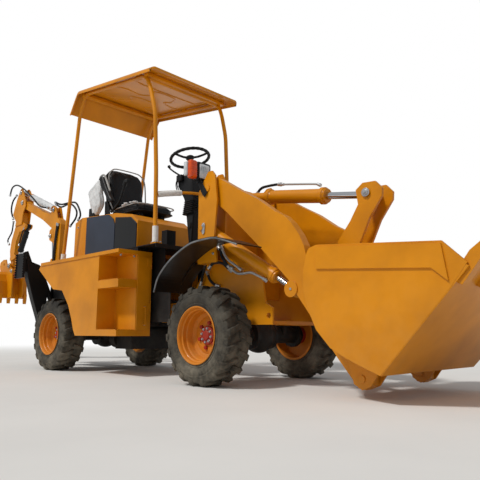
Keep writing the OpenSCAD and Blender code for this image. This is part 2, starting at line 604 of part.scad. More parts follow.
// wrapper of the bucket, from the lip down the floor and up the back
bucket_wrap = [[3330, 760], [3238, 658], [2795, 175], [2665, 222], [2562, 266], [2456, 322], [2352, 432], [2291, 557], [2252, 690], [2255, 818], [2300, 935]];
bucket_side = [[2300, 960], [2359, 975], [3197, 905], [3330, 775], [3238, 655], [2792, 167], [2662, 217], [2559, 260], [2451, 316], [2346, 427], [2285, 555], [2246, 685], [2249, 818], [2280, 930]];
module loader_bucket() placed() color(yellow) {
  w = bucket_w/2;
  sheet_line(bucket_wrap, 16, -w + 1, w - 1);
  both_sides() side_plate(bucket_side, -w, -w + 16);
  // reinforcing plates along the rims
  both_sides() side_plate([[2359, 960], [3197, 890], [3228, 682], [3135, 760], [2359, 815]], -w - 12, -w + 1);
  // ears for the arms
  for (s = [-1, 1], o = [-62, 46]) difference() {
    side_plate([[2470, 320], [2440, 230], [2480, 90], [2540, 55], [2600, 80], [2700, 215], [2620, 250]], s*arm_y + o, s*arm_y + o + 16);
    cross_pin(bucket_pin, 25 + pin_gap, s*arm_y + o - 1, s*arm_y + o + 17);
  }
  // ears for the link, with pin heads
  both_sides() {
    side_plate([[2352, 440], [2368, 230], [2380, 165], [2415, 143], [2452, 160], [2470, 200], [2562, 272], [2456, 328]], -66, -46);
    cross_pin(bucket_link_pin, 28, -76, -65);
  }
  // teeth
  for (i = [0:loader_teeth-1]) {
    y = -w + 50 + i*(2*w - 100)/(loader_teeth - 1);
    side_plate([[3225, 690], [3290, 660], [3400, 800], [3455, 905], [3440, 912], [3340, 840]], y - 35, y + 35);
  }
}

lift_rod_r = 22;
module lift_barrels() placed() color(yellow) both_sides() difference() {
  union() {
    side_rod(lift_pin, lift_eye, lift_d/2, -arm_y, 60, 930);
    side_rod(lift_pin, lift_eye, 36, -arm_y, 10, 70);
    cross_pin(lift_pin, 48, -arm_y - 30, -arm_y + 30);
  }
  cross_pin(lift_pin, 26 + pin_gap, -arm_y - 40, -arm_y + 40);
  side_rod(lift_pin, lift_eye, lift_rod_r + 0.5, -arm_y, 120, 940);
}
module lift_rods() placed() color(steel) both_sides() {
  side_rod(lift_pin, lift_eye, lift_rod_r, -arm_y, 180, dist(lift_pin, lift_eye) - 10);
  cross_pin(lift_eye, 42, -arm_y - 24, -arm_y + 24);
}

tilt_rod_r = 28;
module tilt_barrel() placed() color(yellow) difference() {
  union() {
    side_rod(arm_pin, tilt_eye, tilt_d/2, 0, 310, 945);
    side_rod(arm_pin, tilt_eye, 40, 0, 40, 320);
    cross_pin(arm_pin, 62, -tilt_half, tilt_half);
  }
  cross_pin(arm_pin, 30, -tilt_half - 1, tilt_half + 1);
  side_rod(arm_pin, tilt_eye, tilt_rod_r + 0.5, 0, 345, 950);
}
module tilt_rod() placed() color(steel) difference() {
  union() {
    side_rod(arm_pin, tilt_eye, tilt_rod_r, 0, 680, dist(arm_pin, tilt_eye) - 34);
    cross_pin(tilt_eye, 48, -rocker_in + 6, rocker_in - 6);
  }
  // open pivot: the eye is wider than its pin
  cross_pin(tilt_eye, 31, -rocker_in, rocker_in);
}

// backhoe
boom_in = boom_t/2;
fork_in = boom_in + side_gap;
fork_out = fork_in + 22;
module swing_post() placed() color(yellow) {
  difference() {
    union() {
      translate([swing_x, 0, 546]) cylinder(r = 80, h = 408);
      side_plate([[swing_x - 110, 570], [swing_x, 560], [swing_x, 940], [swing_x - 110, 880]], -fork_out + 1, fork_out - 1);
      both_sides() side_plate([[swing_x, 560], [swing_x, 940], [swing_x - 70, 930], [swing_x - 160, 760], [swing_x - 240, 710], [swing_x - 405, 590], [swing_x - 410, 520], [swing_x - 370, 490], [swing_x - 90, 548]], -fork_out, -fork_in);
    }
    translate([swing_x, 0, 540]) cylinder(r = pivot_r, h = 420);
    // room for the foot of the boom
    cross_pin(boom_pin, 85, -fork_in, fork_in);
  }
  cross_pin(boom_pin, 28, -fork_out - 8, fork_out + 8);
  cross_pin(boom_cyl_pin, 20, -fork_out - 8, fork_out + 8);
}

boom_line = [[-2352, 604], [-2335, 650], [-2348, 760], [-2400, 1000], [-2462, 1440], [-2458, 1774], [-2456, 1880], [-2507, 1950], [-2585, 1992], [-3567, 2355], [-3700, 2432], [-3760, 2438], [-3794, 2414], [-3800, 2372], [-3765, 2338], [-3685, 2297],
  [-3028, 2020], [-2717, 1850], [-2672, 1800], [-2651, 1612], [-2627, 1440], [-2500, 1000], [-2442, 700], [-2438, 640], [-2420, 604], [-2390, 592]];
module backhoe_boom() placed() color(yellow) {
  difference() {
    union() {
      side_plate(boom_line, -boom_in, boom_in);
      // lugs of the dipper cylinder, on top of the knee
      both_sides() side_plate([[-2560, 1960], [-2640, 2150], [-2680, 2170], [-2730, 2160], [-2760, 2110], [-2840, 2060]], -boom_in, -31);
      // lugs of the boom cylinder, behind the boom
      both_sides() side_plate([[-2665, 1640], [-2780, 1690], [-2800, 1745], [-2790, 1830], [-2690, 1880]], -boom_in, -29);
    }
    cross_pin(boom_pin, 28 + pin_gap, -boom_t, boom_t);
    cross_pin(dipper_pin, 25 + pin_gap, -boom_t, boom_t);
  }
  cross_pin(dipper_cyl_pin, 20, -boom_in - 8, boom_in + 8);
  both_sides() cross_pin(boom_eye, 22, -boom_in - 10, -boom_in + 2);
}

head_in = boom_in + side_gap;
head_out = head_in + 14;
dipper_in = 50;
head_line = [[-3800, 2625], [-3770, 2610], [-3640, 2420], [-3620, 2330], [-3700, 2240], [-3728, 2052], [-3960, 2050], [-3940, 2120], [-4040, 2215], [-4074, 2253], [-3950, 2490], [-3850, 2620]];
body_line = [[-3765, 2246], [-3728, 2052], [-3850, 1900], [-3925, 1818], [-3948, 1650], [-3980, 1500], [-3972, 1420], [-3990, 1385], [-4030, 1380], [-4056, 1410], [-4060, 1490], [-4090, 1530], [-4129, 1669], [-4094, 1838], [-3962, 2086], [-3907, 2158], [-3880, 2246]];
module dipper_arm() placed() color(yellow) {
  difference() {
    union() {
      both_sides() side_plate(head_line, -head_out, -head_in);
      side_plate(body_line, -dipper_in, dipper_in);
      // the body's upper end fills the space between the head's plates
      side_plate([[-3765, 2236], [-3735, 2060], [-3950, 2056], [-3900, 2155], [-3880, 2236]], -head_in - 1, head_in + 1);
      // cover along the back of the head
      difference() {
        side_plate([[-3800, 2640], [-3850, 2625], [-3950, 2494], [-4074, 2257], [-4064, 2250], [-3940, 2484], [-3845, 2612], [-3800, 2625]], -head_out, head_out);
        side_plate([[-3780, 2650], [-3860, 2650], [-3990, 2470], [-3920, 2440], [-3790, 2600]], -32, 32);
      }
      // lugs of the bucket cylinder
      both_sides() side_plate([[-3760, 2100], [-3640, 2050], [-3592, 2040], [-3576, 2010], [-3596, 1976], [-3800, 1940]], -dipper_in, -31);
    }
    cross_pin(digger_pin, 25 + pin_gap, -dipper_in - 1, dipper_in + 1);
    cross_pin(digger_rocker_pin, 18 + pin_gap, -dipper_in - 1, dipper_in + 1);
  }
  cross_pin(dipper_pin, 25, -head_out - 8, head_out + 8);
  cross_pin(digger_cyl_pin, 20, -dipper_in - 6, dipper_in + 6);
  both_sides() cross_pin(dipper_eye, 20, -head_out - 6, -head_out + 2);
}

rocker2_in = dipper_in + side_gap;
rocker2_out = rocker2_in + 12;
ear_in = rocker2_out + side_gap;
ear_out = ear_in + 14;
digger_wrap = [[-4400, 1318], [-4230, 1340], [-4110, 1290], [-4050, 1180], [-4010, 920]];
module digging_bucket() placed() color(yellow) {
  w = digger_w/2;
  sheet_line(digger_wrap, 14, -w + 1, w - 1);
  both_sides() side_plate([[-4400, 1325], [-4230, 1347], [-4105, 1296], [-4043, 1182], [-4003, 920], [-4060, 915], [-4240, 1060], [-4390, 1240]], -w, -w + 14);
  // bracket plates with the hinge pin, running down the back as ribs
  both_sides() difference() {
    side_plate([[-4150, 1535], [-4250, 1540], [-4370, 1505], [-4395, 1440], [-4330, 1330], [-4110, 1285], [-4050, 1180], [-4010, 915], [-3860, 935], [-3875, 1290], [-3868, 1350], [-3900, 1376], [-3960, 1400], [-3985, 1462], [-4030, 1466], [-4080, 1450], [-4120, 1470]], -ear_out, -ear_in);
    cross_pin([-4215, 1462], 20, -ear_out - 1, -ear_in + 1);
  }
  cross_pin(digger_pin, 25, -ear_out - 10, ear_out + 10);
  both_sides() cross_pin(push_pin, 18, -ear_out - 8, -ear_out + 2);
  // teeth along the lower edge
  for (i = [0:digger_teeth-1]) {
    y = -w + 30 + i*(2*w - 60)/(digger_teeth - 1);
    side_plate([[-4025, 990], [-3990, 990], [-3992, 900], [-4006, 840], [-4016, 840], [-4028, 900]], y - 24, y + 24);
  }
}

module bucket_rocker() placed() color(yellow) {
  both_sides() side_plate([[-4060, 1512], [-4066, 1560], [-4030, 1576], [-3890, 1596], [-3862, 1575], [-3866, 1540], [-3900, 1530], [-4020, 1508]], -rocker2_out, -rocker2_in);
  cross_pin(digger_rocker_pin, 18, -rocker2_out - 1, rocker2_out + 1);
  both_sides() cross_pin(digger_eye, 18, -rocker2_out - 1, -link_in);
}
link_in = 32;
module bucket_push_link() placed() color(yellow) difference() {
  union() {
    both_sides() side_plate([[-3921, 1585], [-3870, 1585], [-3858, 1480], [-3876, 1312], [-3930, 1312], [-3930, 1350], [-3908, 1400], [-3906, 1520], [-3921, 1555]], -link_in - 14, -link_in);
    cross_pin(push_pin, 30, -ear_in + side_gap, ear_in - side_gap);
  }
  cross_pin(digger_eye, 18 + pin_gap, -link_in - 15, link_in + 15);
}

// barrel of a cylinder with its base eye round a pin, and its rod
module cylinder_barrel(a, b, r, rod_r, pin_r, eye_y, y, s0, s1) difference() {
  union() {
    side_rod(a, b, r, y, s0, s1);
    cross_pin(a, pin_r + 16, y - eye_y, y + eye_y);
    side_rod(a, b, neck_r, y, pin_r + 4, s0 + 6);
  }
  cross_pin(a, pin_r + pin_gap, y - eye_y - 1, y + eye_y + 1);
  side_rod(a, b, rod_r + 0.5, y, s0 + 16, s1 + 10);
}
module cylinder_rod(a, b, r, eye_y, y, s0) {
  side_rod(a, b, r, y, s0, dist(a, b) - 10);
  cross_pin(b, 34, y - eye_y, y + eye_y);
}
neck_r = 22;
module boom_barrel() placed() color(yellow) cylinder_barrel(boom_cyl_pin, boom_eye, 44, 25, 20, boom_in, 0, 44, 880);
module boom_rod() placed() color(steel) cylinder_rod(boom_cyl_pin, boom_eye, 25, 22, 0, 330);
module dipper_barrel() placed() color(yellow) cylinder_barrel(dipper_cyl_pin, dipper_eye, 44, 25, 20, 25, 0, 88, 940);
module dipper_rod() placed() color(steel) cylinder_rod(dipper_cyl_pin, dipper_eye, 25, 25, 0, 290);
module digger_barrel() placed() color(dark) cylinder_barrel(digger_cyl_pin, digger_eye, 40, 20, 20, 25, 0, 88, 430);
module digger_rod() placed() color(steel) cylinder_rod(digger_cyl_pin, digger_eye, 20, 22, 0, 150);

// stabilisers
module stab_side(side) placed() mirror([0, side > 0 ? 1 : 0, 0]) children();
// cylinder in the stabilisers' plane, from y-z point a towards b
module cross_rod(a, b, r, s0, s1)
  translate([stab_x, a[0], a[1]]) rotate([atan2(b[1] - a[1], b[0] - a[0]), 0, 0]) translate([0, s0, 0])
    rotate([-90, 0, 0]) cylinder(r = r, h = s1 - s0);
// plate across the machine with an outline in y and z, from x0 to x1
module cross_plate(points, x0, x1)
  translate([x0, 0, 0]) rotate([90, 0, 90]) linear_extrude(x1 - x0) polygon(points);
module along_x(p, r, half) translate([stab_x - half, p[0], p[1]]) rotate([0, 90, 0]) cylinder(r = r, h = 2*half);

leg_wall = 9;
pad_face = -745;
pad_x = stab_x - 110;
leg_line = [[-385, 395], [-430, 395], [-455, 440], [-494, 575], [-572, 791], [-655, 1055], [-672, 1200], [-700, 1370], [-676, 1385], [-618, 1254], [-520, 1225], [-455, 1170], [-440, 1080], [-398, 948], [-403, 737], [-355, 470], [-355, 420]];
module stab_leg(side) stab_side(side) color(dark) {
  difference() {
    cross_plate(leg_line, stab_x - leg_half, stab_x + leg_half);
    // open channel for the cylinder
    cross_plate([[-480, 540], [-555, 791], [-638, 1055], [-640, 1270], [-300, 1270], [-300, 540]], stab_x - leg_half + leg_wall, stab_x + leg_half - leg_wall);
    along_x(stab_pin, 22 + pin_gap, stab_gap);
  }
  // heads of the rod's pin
  for (s = [-1, 1]) translate([stab_x + s*(leg_half - 3), stab_eye[0], stab_eye[1]]) rotate([0, 90, 0]) cylinder(r = 20, h = 14, center = true);
  // foot: plate, bracket and two toothed rims
  translate([pad_x, pad_face, 1050]) cube([220, 18, 300]);
  cross_plate([[-730, 1130], [-640, 1130], [-640, 1290], [-730, 1290]], stab_x - 34, stab_x + 34);
  teeth = [for (i = [0:9]) each [[pad_face - 4, 1050 + 30*i], [pad_face - 22, 1062 + 30*i]]];
  for (x = [pad_x, pad_x + 210])
    cross_plate(concat([[pad_face + 17, 1050]], teeth, [[pad_face - 4, 1350], [pad_face + 17, 1350]]), x, x + 10);
}
stab_rod_r = 18;
module stab_barrel(side) stab_side(side) color(steel) difference() {
  union() {
    cross_rod(stab_cyl_pin, stab_eye, 32, 34, 480);
    cross_rod(stab_cyl_pin, stab_eye, 18, 18, 40);
    along_x(stab_cyl_pin, 30, 25);
  }
  along_x(stab_cyl_pin, 17 + pin_gap, 30);
  cross_rod(stab_cyl_pin, stab_eye, stab_rod_r + 0.5, 50, 490);
}
module stab_rod(side) stab_side(side) color(steel) {
  cross_rod(stab_cyl_pin, stab_eye, stab_rod_r, 66, dist(stab_cyl_pin, stab_eye) - 10);
  along_x(stab_eye, 32, 22);
}

// the sub-parts
module tyre_front_right() tyre_at(axle_x, -wheel_y);
module tyre_front_left() tyre_at(axle_x, wheel_y);
module tyre_rear_right() tyre_at(-axle_x, -wheel_y);
module tyre_rear_left() tyre_at(-axle_x, wheel_y);
module rim_front_right() rim_at(axle_x, -wheel_y, -1);
module rim_front_left() rim_at(axle_x, wheel_y, 1);
module rim_rear_right() rim_at(-axle_x, -wheel_y, -1);
module rim_rear_left() rim_at(-axle_x, wheel_y, 1);
module stabiliser_leg_right() stab_leg(-1);
module stabiliser_leg_left() stab_leg(1);
module stabiliser_barrel_right() stab_barrel(-1);
module stabiliser_barrel_left() stab_barrel(1);
module stabiliser_rod_right() stab_rod(-1);
module stabiliser_rod_left() stab_rod(1);

rear_chassis();
rear_axle();
engine_block();
engine_hood();
hood_side_panels();
side_boxes();
floor_plate();
operator_seat();
control_levers();
canopy_posts();
canopy_roof();
steering_console();
front_frame();
front_axle();
front_fenders();
work_lamps();
tyre_front_right();
tyre_front_left();
tyre_rear_right();
tyre_rear_left();
rim_front_right();
rim_front_left();
rim_rear_right();
rim_rear_left();
steering_wheel();
box_door_right();
box_door_left();
loader_arms();
loader_rocker();
loader_bucket_link();
loader_bucket();
lift_barrels();
lift_rods();
tilt_barrel();
tilt_rod();
swing_post();
backhoe_boom();
dipper_arm();
digging_bucket();
bucket_rocker();
bucket_push_link();
boom_barrel();
boom_rod();
dipper_barrel();
dipper_rod();
digger_barrel();
digger_rod();
stabiliser_leg_right();
stabiliser_leg_left();
stabiliser_barrel_right();
stabiliser_barrel_left();
stabiliser_rod_right();
stabiliser_rod_left();
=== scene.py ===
"""Looks of an articulated backhoe loader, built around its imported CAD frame.

Lengths in the classes are millimetres on the machine's own drawing, whose origin lies midway
between the axles; at() turns them into metres in the frame. Blender's Z is up and +X is forward.
"""

import logging
import math
from dataclasses import dataclass
from enum import Enum

import bmesh
import bpy
from bmesh.types import BMesh
from bpy.types import ID, Material, Mesh, Node, NodeSocket, NodeTree, Object
from mathutils import Matrix, Vector, noise


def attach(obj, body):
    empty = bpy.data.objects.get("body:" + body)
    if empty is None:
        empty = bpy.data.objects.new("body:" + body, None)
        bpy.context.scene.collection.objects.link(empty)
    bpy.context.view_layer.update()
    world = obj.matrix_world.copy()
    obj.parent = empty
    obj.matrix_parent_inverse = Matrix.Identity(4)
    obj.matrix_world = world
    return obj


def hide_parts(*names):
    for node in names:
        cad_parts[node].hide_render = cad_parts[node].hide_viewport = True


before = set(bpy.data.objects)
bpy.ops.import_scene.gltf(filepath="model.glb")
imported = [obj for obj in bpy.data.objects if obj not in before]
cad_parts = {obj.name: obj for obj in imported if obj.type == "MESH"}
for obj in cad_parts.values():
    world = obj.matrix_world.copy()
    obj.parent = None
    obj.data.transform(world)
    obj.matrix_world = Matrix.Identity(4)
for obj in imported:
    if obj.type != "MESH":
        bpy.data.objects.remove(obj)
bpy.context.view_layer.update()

LOG = logging.getLogger("backhoe_loader")
Flat = tuple[float, float]
Spot = tuple[float, float, float]
MM = 0.001
DRAWING_SHIFT = 476.0
# gloss of bare metal, and of paint, rubber and plastic under a white room
METAL_GLOSS = 0.5
PAINT_GLOSS = 0.26
# roughness under full dust
DUSTY_ROUGH = 0.92
# pressure and last frame of the cushions' simulation
PRESSURE = 4.0
LAST_FRAME = 20


def at(x: float, y: float, z: float) -> Vector:
    """Turn a point of the drawing, in millimetres, into metres in the frame.

    Args:
        x: distance forward of the drawing's origin.
        y: distance to the driver's left.
        z: height above the ground.

    Returns:
        The point in the frame.
    """
    return Vector(((x + DRAWING_SHIFT) * MM, y * MM, z * MM))


def linear(colour: str) -> tuple[float, float, float, float]:
    """Turn an sRGB hex colour into the linear numbers that shaders take.

    Args:
        colour: a colour such as "#D98A00".

    Returns:
        Red, green, blue and an alpha of 1.
    """
    parts = [int(colour[i:i + 2], 16) / 255 for i in (1, 3, 5)]
    return (*[c / 12.92 if c <= 0.04045 else ((c + 0.055) / 1.055) ** 2.4 for c in parts], 1.0)


def round_turn(count: int) -> list[float]:
    """Return the angles of that many even steps of a full turn, in radians."""
    return [math.tau * k / count for k in range(count)]


def stood(name: str, data: ID) -> Object:
    """Return a new object with that data, linked to the scene."""
    thing = bpy.data.objects.new(name, data)
    bpy.context.scene.collection.objects.link(thing)
    return thing


def blank_tree(owner: ID) -> NodeTree:
    """Return the emptied node tree of a material or a world."""
    owner.use_nodes = True
    owner.node_tree.nodes.clear()
    return owner.node_tree


def add(tree: NodeTree, kind: str, inputs: dict | None = None, **settings) -> Node:
    """Add one node with its settings, and set or link its inputs.

    Args:
        tree: the tree that gets the node.
        kind: Blender's name of the node type.
        inputs: value or socket for each input, by name or place.
        settings: properties of the node.

    Returns:
        The new node.
    """
    node = tree.nodes.new(kind)
    for name, value in settings.items():
        setattr(node, name, value)
    for key, value in (inputs or {}).items():
        if isinstance(value, NodeSocket):
            tree.links.new(value, node.inputs[key])
        else:
            node.inputs[key].default_value = value
    return node


def remap(tree: NodeTree, value: NodeSocket, low: float, high: float, to_low: float = 0.0,
        to_high: float = 1.0) -> NodeSocket:
    """Stretch the range low to high of a value over to_low to to_high, and cut off what lies outside."""
    return add(tree, "ShaderNodeMapRange", {"Value": value, "From Min": low, "From Max": high, "To Min": to_low,
        "To Max": to_high}).outputs[0]


def cloud(tree: NodeTree, where: NodeSocket, scale: float, detail: float, rough: float = 0.5) -> NodeSocket:
    """Return a noise of that scale over the piece."""
    return add(tree, "ShaderNodeTexNoise", {"Vector": where, "Scale": scale, "Detail": detail,
        "Roughness": rough}).outputs[0]


def blend(tree: NodeTree, share: NodeSocket, a, b) -> NodeSocket:
    """Mix two colours, the second by its share."""
    return add(tree, "ShaderNodeMix", {0: share, 6: a, 7: b}, data_type="RGBA").outputs[2]


# finishes


class Slot(Enum):
    """The record's material slots."""

    YELLOW = "yellow_paint"
    BLACK = "black_paint"
    BLUE_GREY = "blue_grey_paint"
    SILVER = "silver_paint"
    CHROME = "chromed_steel"
    TYRE = "tyre"
    PLASTIC = "black_plastic"
    VINYL = "seat_vinyl"


@dataclass(frozen=True)
class Finish:
    """A surface with tint patches, fine relief, dust from above and worn edges."""

    name: str
    slot: Slot
    colour: str
    shade: str
    rough: float = 0.4
    metal: float = 0.0
    coat: float = 0.0
    dust: float = 0.0
    dust_colour: str = "#A79A86"
    low_dirt: float = 0.0
    wear: float = 0.0
    wear_colour: str = "#6E6A63"
    grain_mm: float = 4.0
    grain: float = 0.05
    patch_mm: float = 380.0
    edge_mm: float = 0.0

    def material(self) -> Material:
        """Return the finish's material, built once."""
        found = bpy.data.materials.get(self.name)
        if found:
            return found
        material = bpy.data.materials.new(self.name)
        tree = blank_tree(material)
        where = add(tree, "ShaderNodeTexCoord").outputs["Object"]
        patches = cloud(tree, where, 1000 / self.patch_mm, 4.0, 0.55)
        share = remap(tree, patches, 0.35, 0.68)
        tint = blend(tree, share, linear(self.colour), linear(self.shade))
        rough = self.rough
        facing = add(tree, "ShaderNodeNewGeometry").outputs["Normal"]
        if self.dust or self.low_dirt:
            tint, rough = self.dusty(tree, where, facing, tint)
        if self.wear:
            tint = self.worn(tree, where, facing, tint)
        fine = cloud(tree, where, 1000 / self.grain_mm, 3.0)
        bump = {"Strength": min(1.0, self.grain * 4), "Distance": self.grain * self.grain_mm * MM, "Height": fine}
        if self.edge_mm:
            bump["Normal"] = add(tree, "ShaderNodeBevel", {"Radius": self.edge_mm * MM}, samples=4).outputs[0]
        relief = add(tree, "ShaderNodeBump", bump)
        shader = add(tree, "ShaderNodeBsdfPrincipled", {"Base Color": tint, "Roughness": rough,
            "Metallic": self.metal, "Normal": relief.outputs[0], "Coat Weight": self.coat, "Coat Roughness": 0.12,
            "Specular IOR Level": METAL_GLOSS if self.metal > 0.5 else PAINT_GLOSS})
        add(tree, "ShaderNodeOutputMaterial", {"Surface": shader.outputs[0]})
        return material

    def dusty(self, tree: NodeTree, where: NodeSocket, facing: NodeSocket, tint: NodeSocket) -> tuple[NodeSocket,
            NodeSocket]:
        """Lay dust on faces that look up and dirt on what lies low.

        Args:
            tree: the material's tree.
            where: place on the piece, in metres.
            facing: normal of the surface.
            tint: colour of the clean finish.

        Returns:
            The sockets of the dusty colour and of the roughness.
        """
        up = add(tree, "ShaderNodeSeparateXYZ", {0: facing}).outputs[2]
        up = remap(tree, up, 0.25, 1.0, 0.0, self.dust)
        height = add(tree, "ShaderNodeSeparateXYZ", {0: where}).outputs[2]
        low = remap(tree, height, 0.95, 0.1, 0.0, self.low_dirt)
        uneven = remap(tree, cloud(tree, where, 9.0, 8.0, 0.66), 0.38, 0.66, 0.25)
        both = add(tree, "ShaderNodeMath", {0: up, 1: low}, operation="ADD", use_clamp=True).outputs[0]
        share = add(tree, "ShaderNodeMath", {0: both, 1: uneven}, operation="MULTIPLY", use_clamp=True).outputs[0]
        mixed = blend(tree, share, tint, linear(self.dust_colour))
        rough = remap(tree, share, 0.0, 1.0, self.rough, DUSTY_ROUGH)
        return mixed, rough

    def worn(self, tree: NodeTree, where: NodeSocket, facing: NodeSocket, tint: NodeSocket) -> NodeSocket:
        """Rub the finish off in small patches along the edges.

        Args:
            tree: the material's tree.
            where: place on the piece, in metres.
            facing: normal of the surface.
            tint: colour before the wear.

        Returns:
            The socket of the worn colour.
        """
        round_edge = add(tree, "ShaderNodeBevel", {"Radius": 0.005}, samples=4).outputs[0]
        same = add(tree, "ShaderNodeVectorMath", {0: round_edge, 1: facing}, operation="DOT_PRODUCT").outputs["Value"]
        edge = remap(tree, same, 0.97, 0.8)
        chips = remap(tree, cloud(tree, where, 55.0, 5.0, 0.7), 0.6, 0.68, 0.0, self.wear)
        share = add(tree, "ShaderNodeMath", {0: edge, 1: chips}, operation="MULTIPLY", use_clamp=True).outputs[0]
        return blend(tree, share, tint, linear(self.wear_colour))


# two-pack enamel, sprayed: deep yellow with an even gloss, a light orange peel and dusty upper faces
ENAMEL = Finish("yellow_enamel", Slot.YELLOW, "#DC8C00", "#C47A00", rough=0.38, coat=0.1, dust=0.02,
    dust_colour="#D8B478", low_dirt=0.12, wear=0.35, wear_colour="#8C6420", grain_mm=5, grain=0.04, edge_mm=3.0)
# the same enamel on the wheels, more orange and dustier in the dish
RIM_ENAMEL = Finish("rim_enamel", Slot.YELLOW, "#D9800A", "#B96A06", rough=0.45, coat=0.05, dust=0.08, low_dirt=0.2,
    dust_colour="#B79A6C", wear=0.4, grain_mm=4, edge_mm=2.0)
# chassis black, brushed on thick: satin, greyed by dust
CHASSIS_BLACK = Finish("chassis_black", Slot.BLACK, "#0F1011", "#17181A", rough=0.5, dust=0.12, dust_colour="#77726A",
    low_dirt=0.25, wear=0.3, wear_colour="#5A5750", grain_mm=5, grain=0.06, edge_mm=3.0)
# blue-grey enamel of the hood's panels: cool and even
BLUE_GREY = Finish("blue_grey_enamel", Slot.BLUE_GREY, "#333C4C", "#2A3240", rough=0.4, coat=0.15, dust=0.2,
    dust_colour="#6F7276", low_dirt=0.1, wear=0.3, grain_mm=5, grain=0.04, edge_mm=3.0)
# rolled edge of the black fenders: its silver-grey colour is a painted highlight along the rim, with lighter worn
# chips
FENDER_EDGE_HIGHLIGHT = Finish("fender_edge", Slot.BLACK, "#5E6163", "#8B8E90", rough=0.35, metal=0.4, dust=0.2, wear=0.4,
    wear_colour="#B4B6B8", patch_mm=120, grain_mm=4, grain=0.05)
# black enamel of the fenders: glossy, silvery where it is worn
FENDER_BLACK = Finish("fender_black", Slot.BLACK, "#0D0E0F", "#131415", rough=0.36, coat=0.2, dust=0.06,
    dust_colour="#7D7B76", wear=0.8, wear_colour="#A9ABAD", grain_mm=6, grain=0.04, edge_mm=2.5)
# natural rubber with carbon black, moulded: dark, dusty on the sidewall
RUBBER = Finish("tyre_rubber", Slot.TYRE, "#111110", "#181716", rough=0.7, dust=0.06, dust_colour="#8A8272",
    low_dirt=0.75, patch_mm=90, grain_mm=2.5, grain=0.12)
# lug faces that have touched the ground: lighter and rougher
LUG_RUBBER = Finish("lug_rubber", Slot.TYRE, "#0E0E0D", "#151412", rough=0.74, dust=0.05, dust_colour="#978D7B",
    low_dirt=0.55, patch_mm=60, grain_mm=3, grain=0.16, edge_mm=2.0)
# hard chrome on ground steel: a mirror with a faint blur
CHROME = Finish("hard_chrome", Slot.CHROME, "#D9DBDD", "#C4C7CA", rough=0.14, metal=1.0, grain_mm=2, grain=0.01)
# zinc plate on steel: pale grey, satin
ZINC = Finish("zinc_plate", Slot.CHROME, "#C6C8CA", "#A9ACAE", rough=0.36, metal=0.9, grain_mm=2, grain=0.05,
    dust=0.1, edge_mm=0.8)
# silver paint on the steel pipes: grainy and matt
PIPE_SILVER = Finish("pipe_silver", Slot.SILVER, "#BFC1C1", "#A5A7A7", rough=0.42, metal=0.6, grain_mm=1.5,
    grain=0.05, dust=0.15)
# ABS, injection moulded with a fine spark grain: black, softly lit
ABS_BLACK = Finish("moulded_abs", Slot.PLASTIC, "#0F1011", "#151618", rough=0.5, grain_mm=1.2, grain=0.12, dust=0.1,
    dust_colour="#77756F", patch_mm=150, edge_mm=1.5)
# PVC leathercloth: black, fine pebble grain
VINYL = Finish("pebbled_vinyl", Slot.VINYL, "#121315", "#1A1B1E", rough=0.44, grain_mm=2.2, grain=0.22, dust=0.1,
    dust_colour="#85827B", patch_mm=120)
# piping and edge band of the seat: grey-white vinyl
PIPING = Finish("grey_vinyl_piping", Slot.VINYL, "#A9A9A6", "#8E8E8B", rough=0.5, grain_mm=2, grain=0.1, dust=0.2,
    patch_mm=90)
# braided hydraulic hose with a nitrile cover: black, dull
HOSE = Finish("hose_cover", Slot.PLASTIC, "#161617", "#222223", rough=0.62, grain_mm=1.5, grain=0.1, dust=0.35,
    dust_colour="#6D6A64", patch_mm=60)
# stretch film wrapped round what must stay clean: milky white, shiny creases
FILM = Finish("stretch_film", Slot.SILVER, "#E4E6E6", "#C9CBCB", rough=0.3, coat=0.4, grain_mm=14, grain=0.3,
    patch_mm=40)
# foam sleeve, closed cell: white, matt
FOAM = Finish("packing_foam", Slot.SILVER, "#ECEAE5", "#DAD7D0", rough=0.9, grain_mm=3, grain=0.2, patch_mm=30)
# red enamel on the hubs
HUB_RED = Finish("hub_red", Slot.YELLOW, "#B3241B", "#94200F", rough=0.42, dust=0.3, low_dirt=0.3,
    dust_colour="#8C6A55", wear=0.4, grain_mm=4, grain=0.06, edge_mm=1.5)
# acrylic lenses, moulded with prisms: clear and amber
CLEAR_LENS = Finish("clear_acrylic", Slot.SILVER, "#D3D7D9", "#B8BDC0", rough=0.12, coat=0.8, grain_mm=6, grain=0.12,
    patch_mm=25)
AMBER_LENS = Finish("amber_acrylic", Slot.SILVER, "#E2520F", "#C9430A", rough=0.15, coat=0.8, grain_mm=5, grain=0.12,
    patch_mm=25)
# polyethylene tape: sky blue, smooth
BLUE_TAPE = Finish("blue_tape", Slot.SILVER, "#2C9AD6", "#2588BF", rough=0.4, grain_mm=4, grain=0.05)


# mesh builders


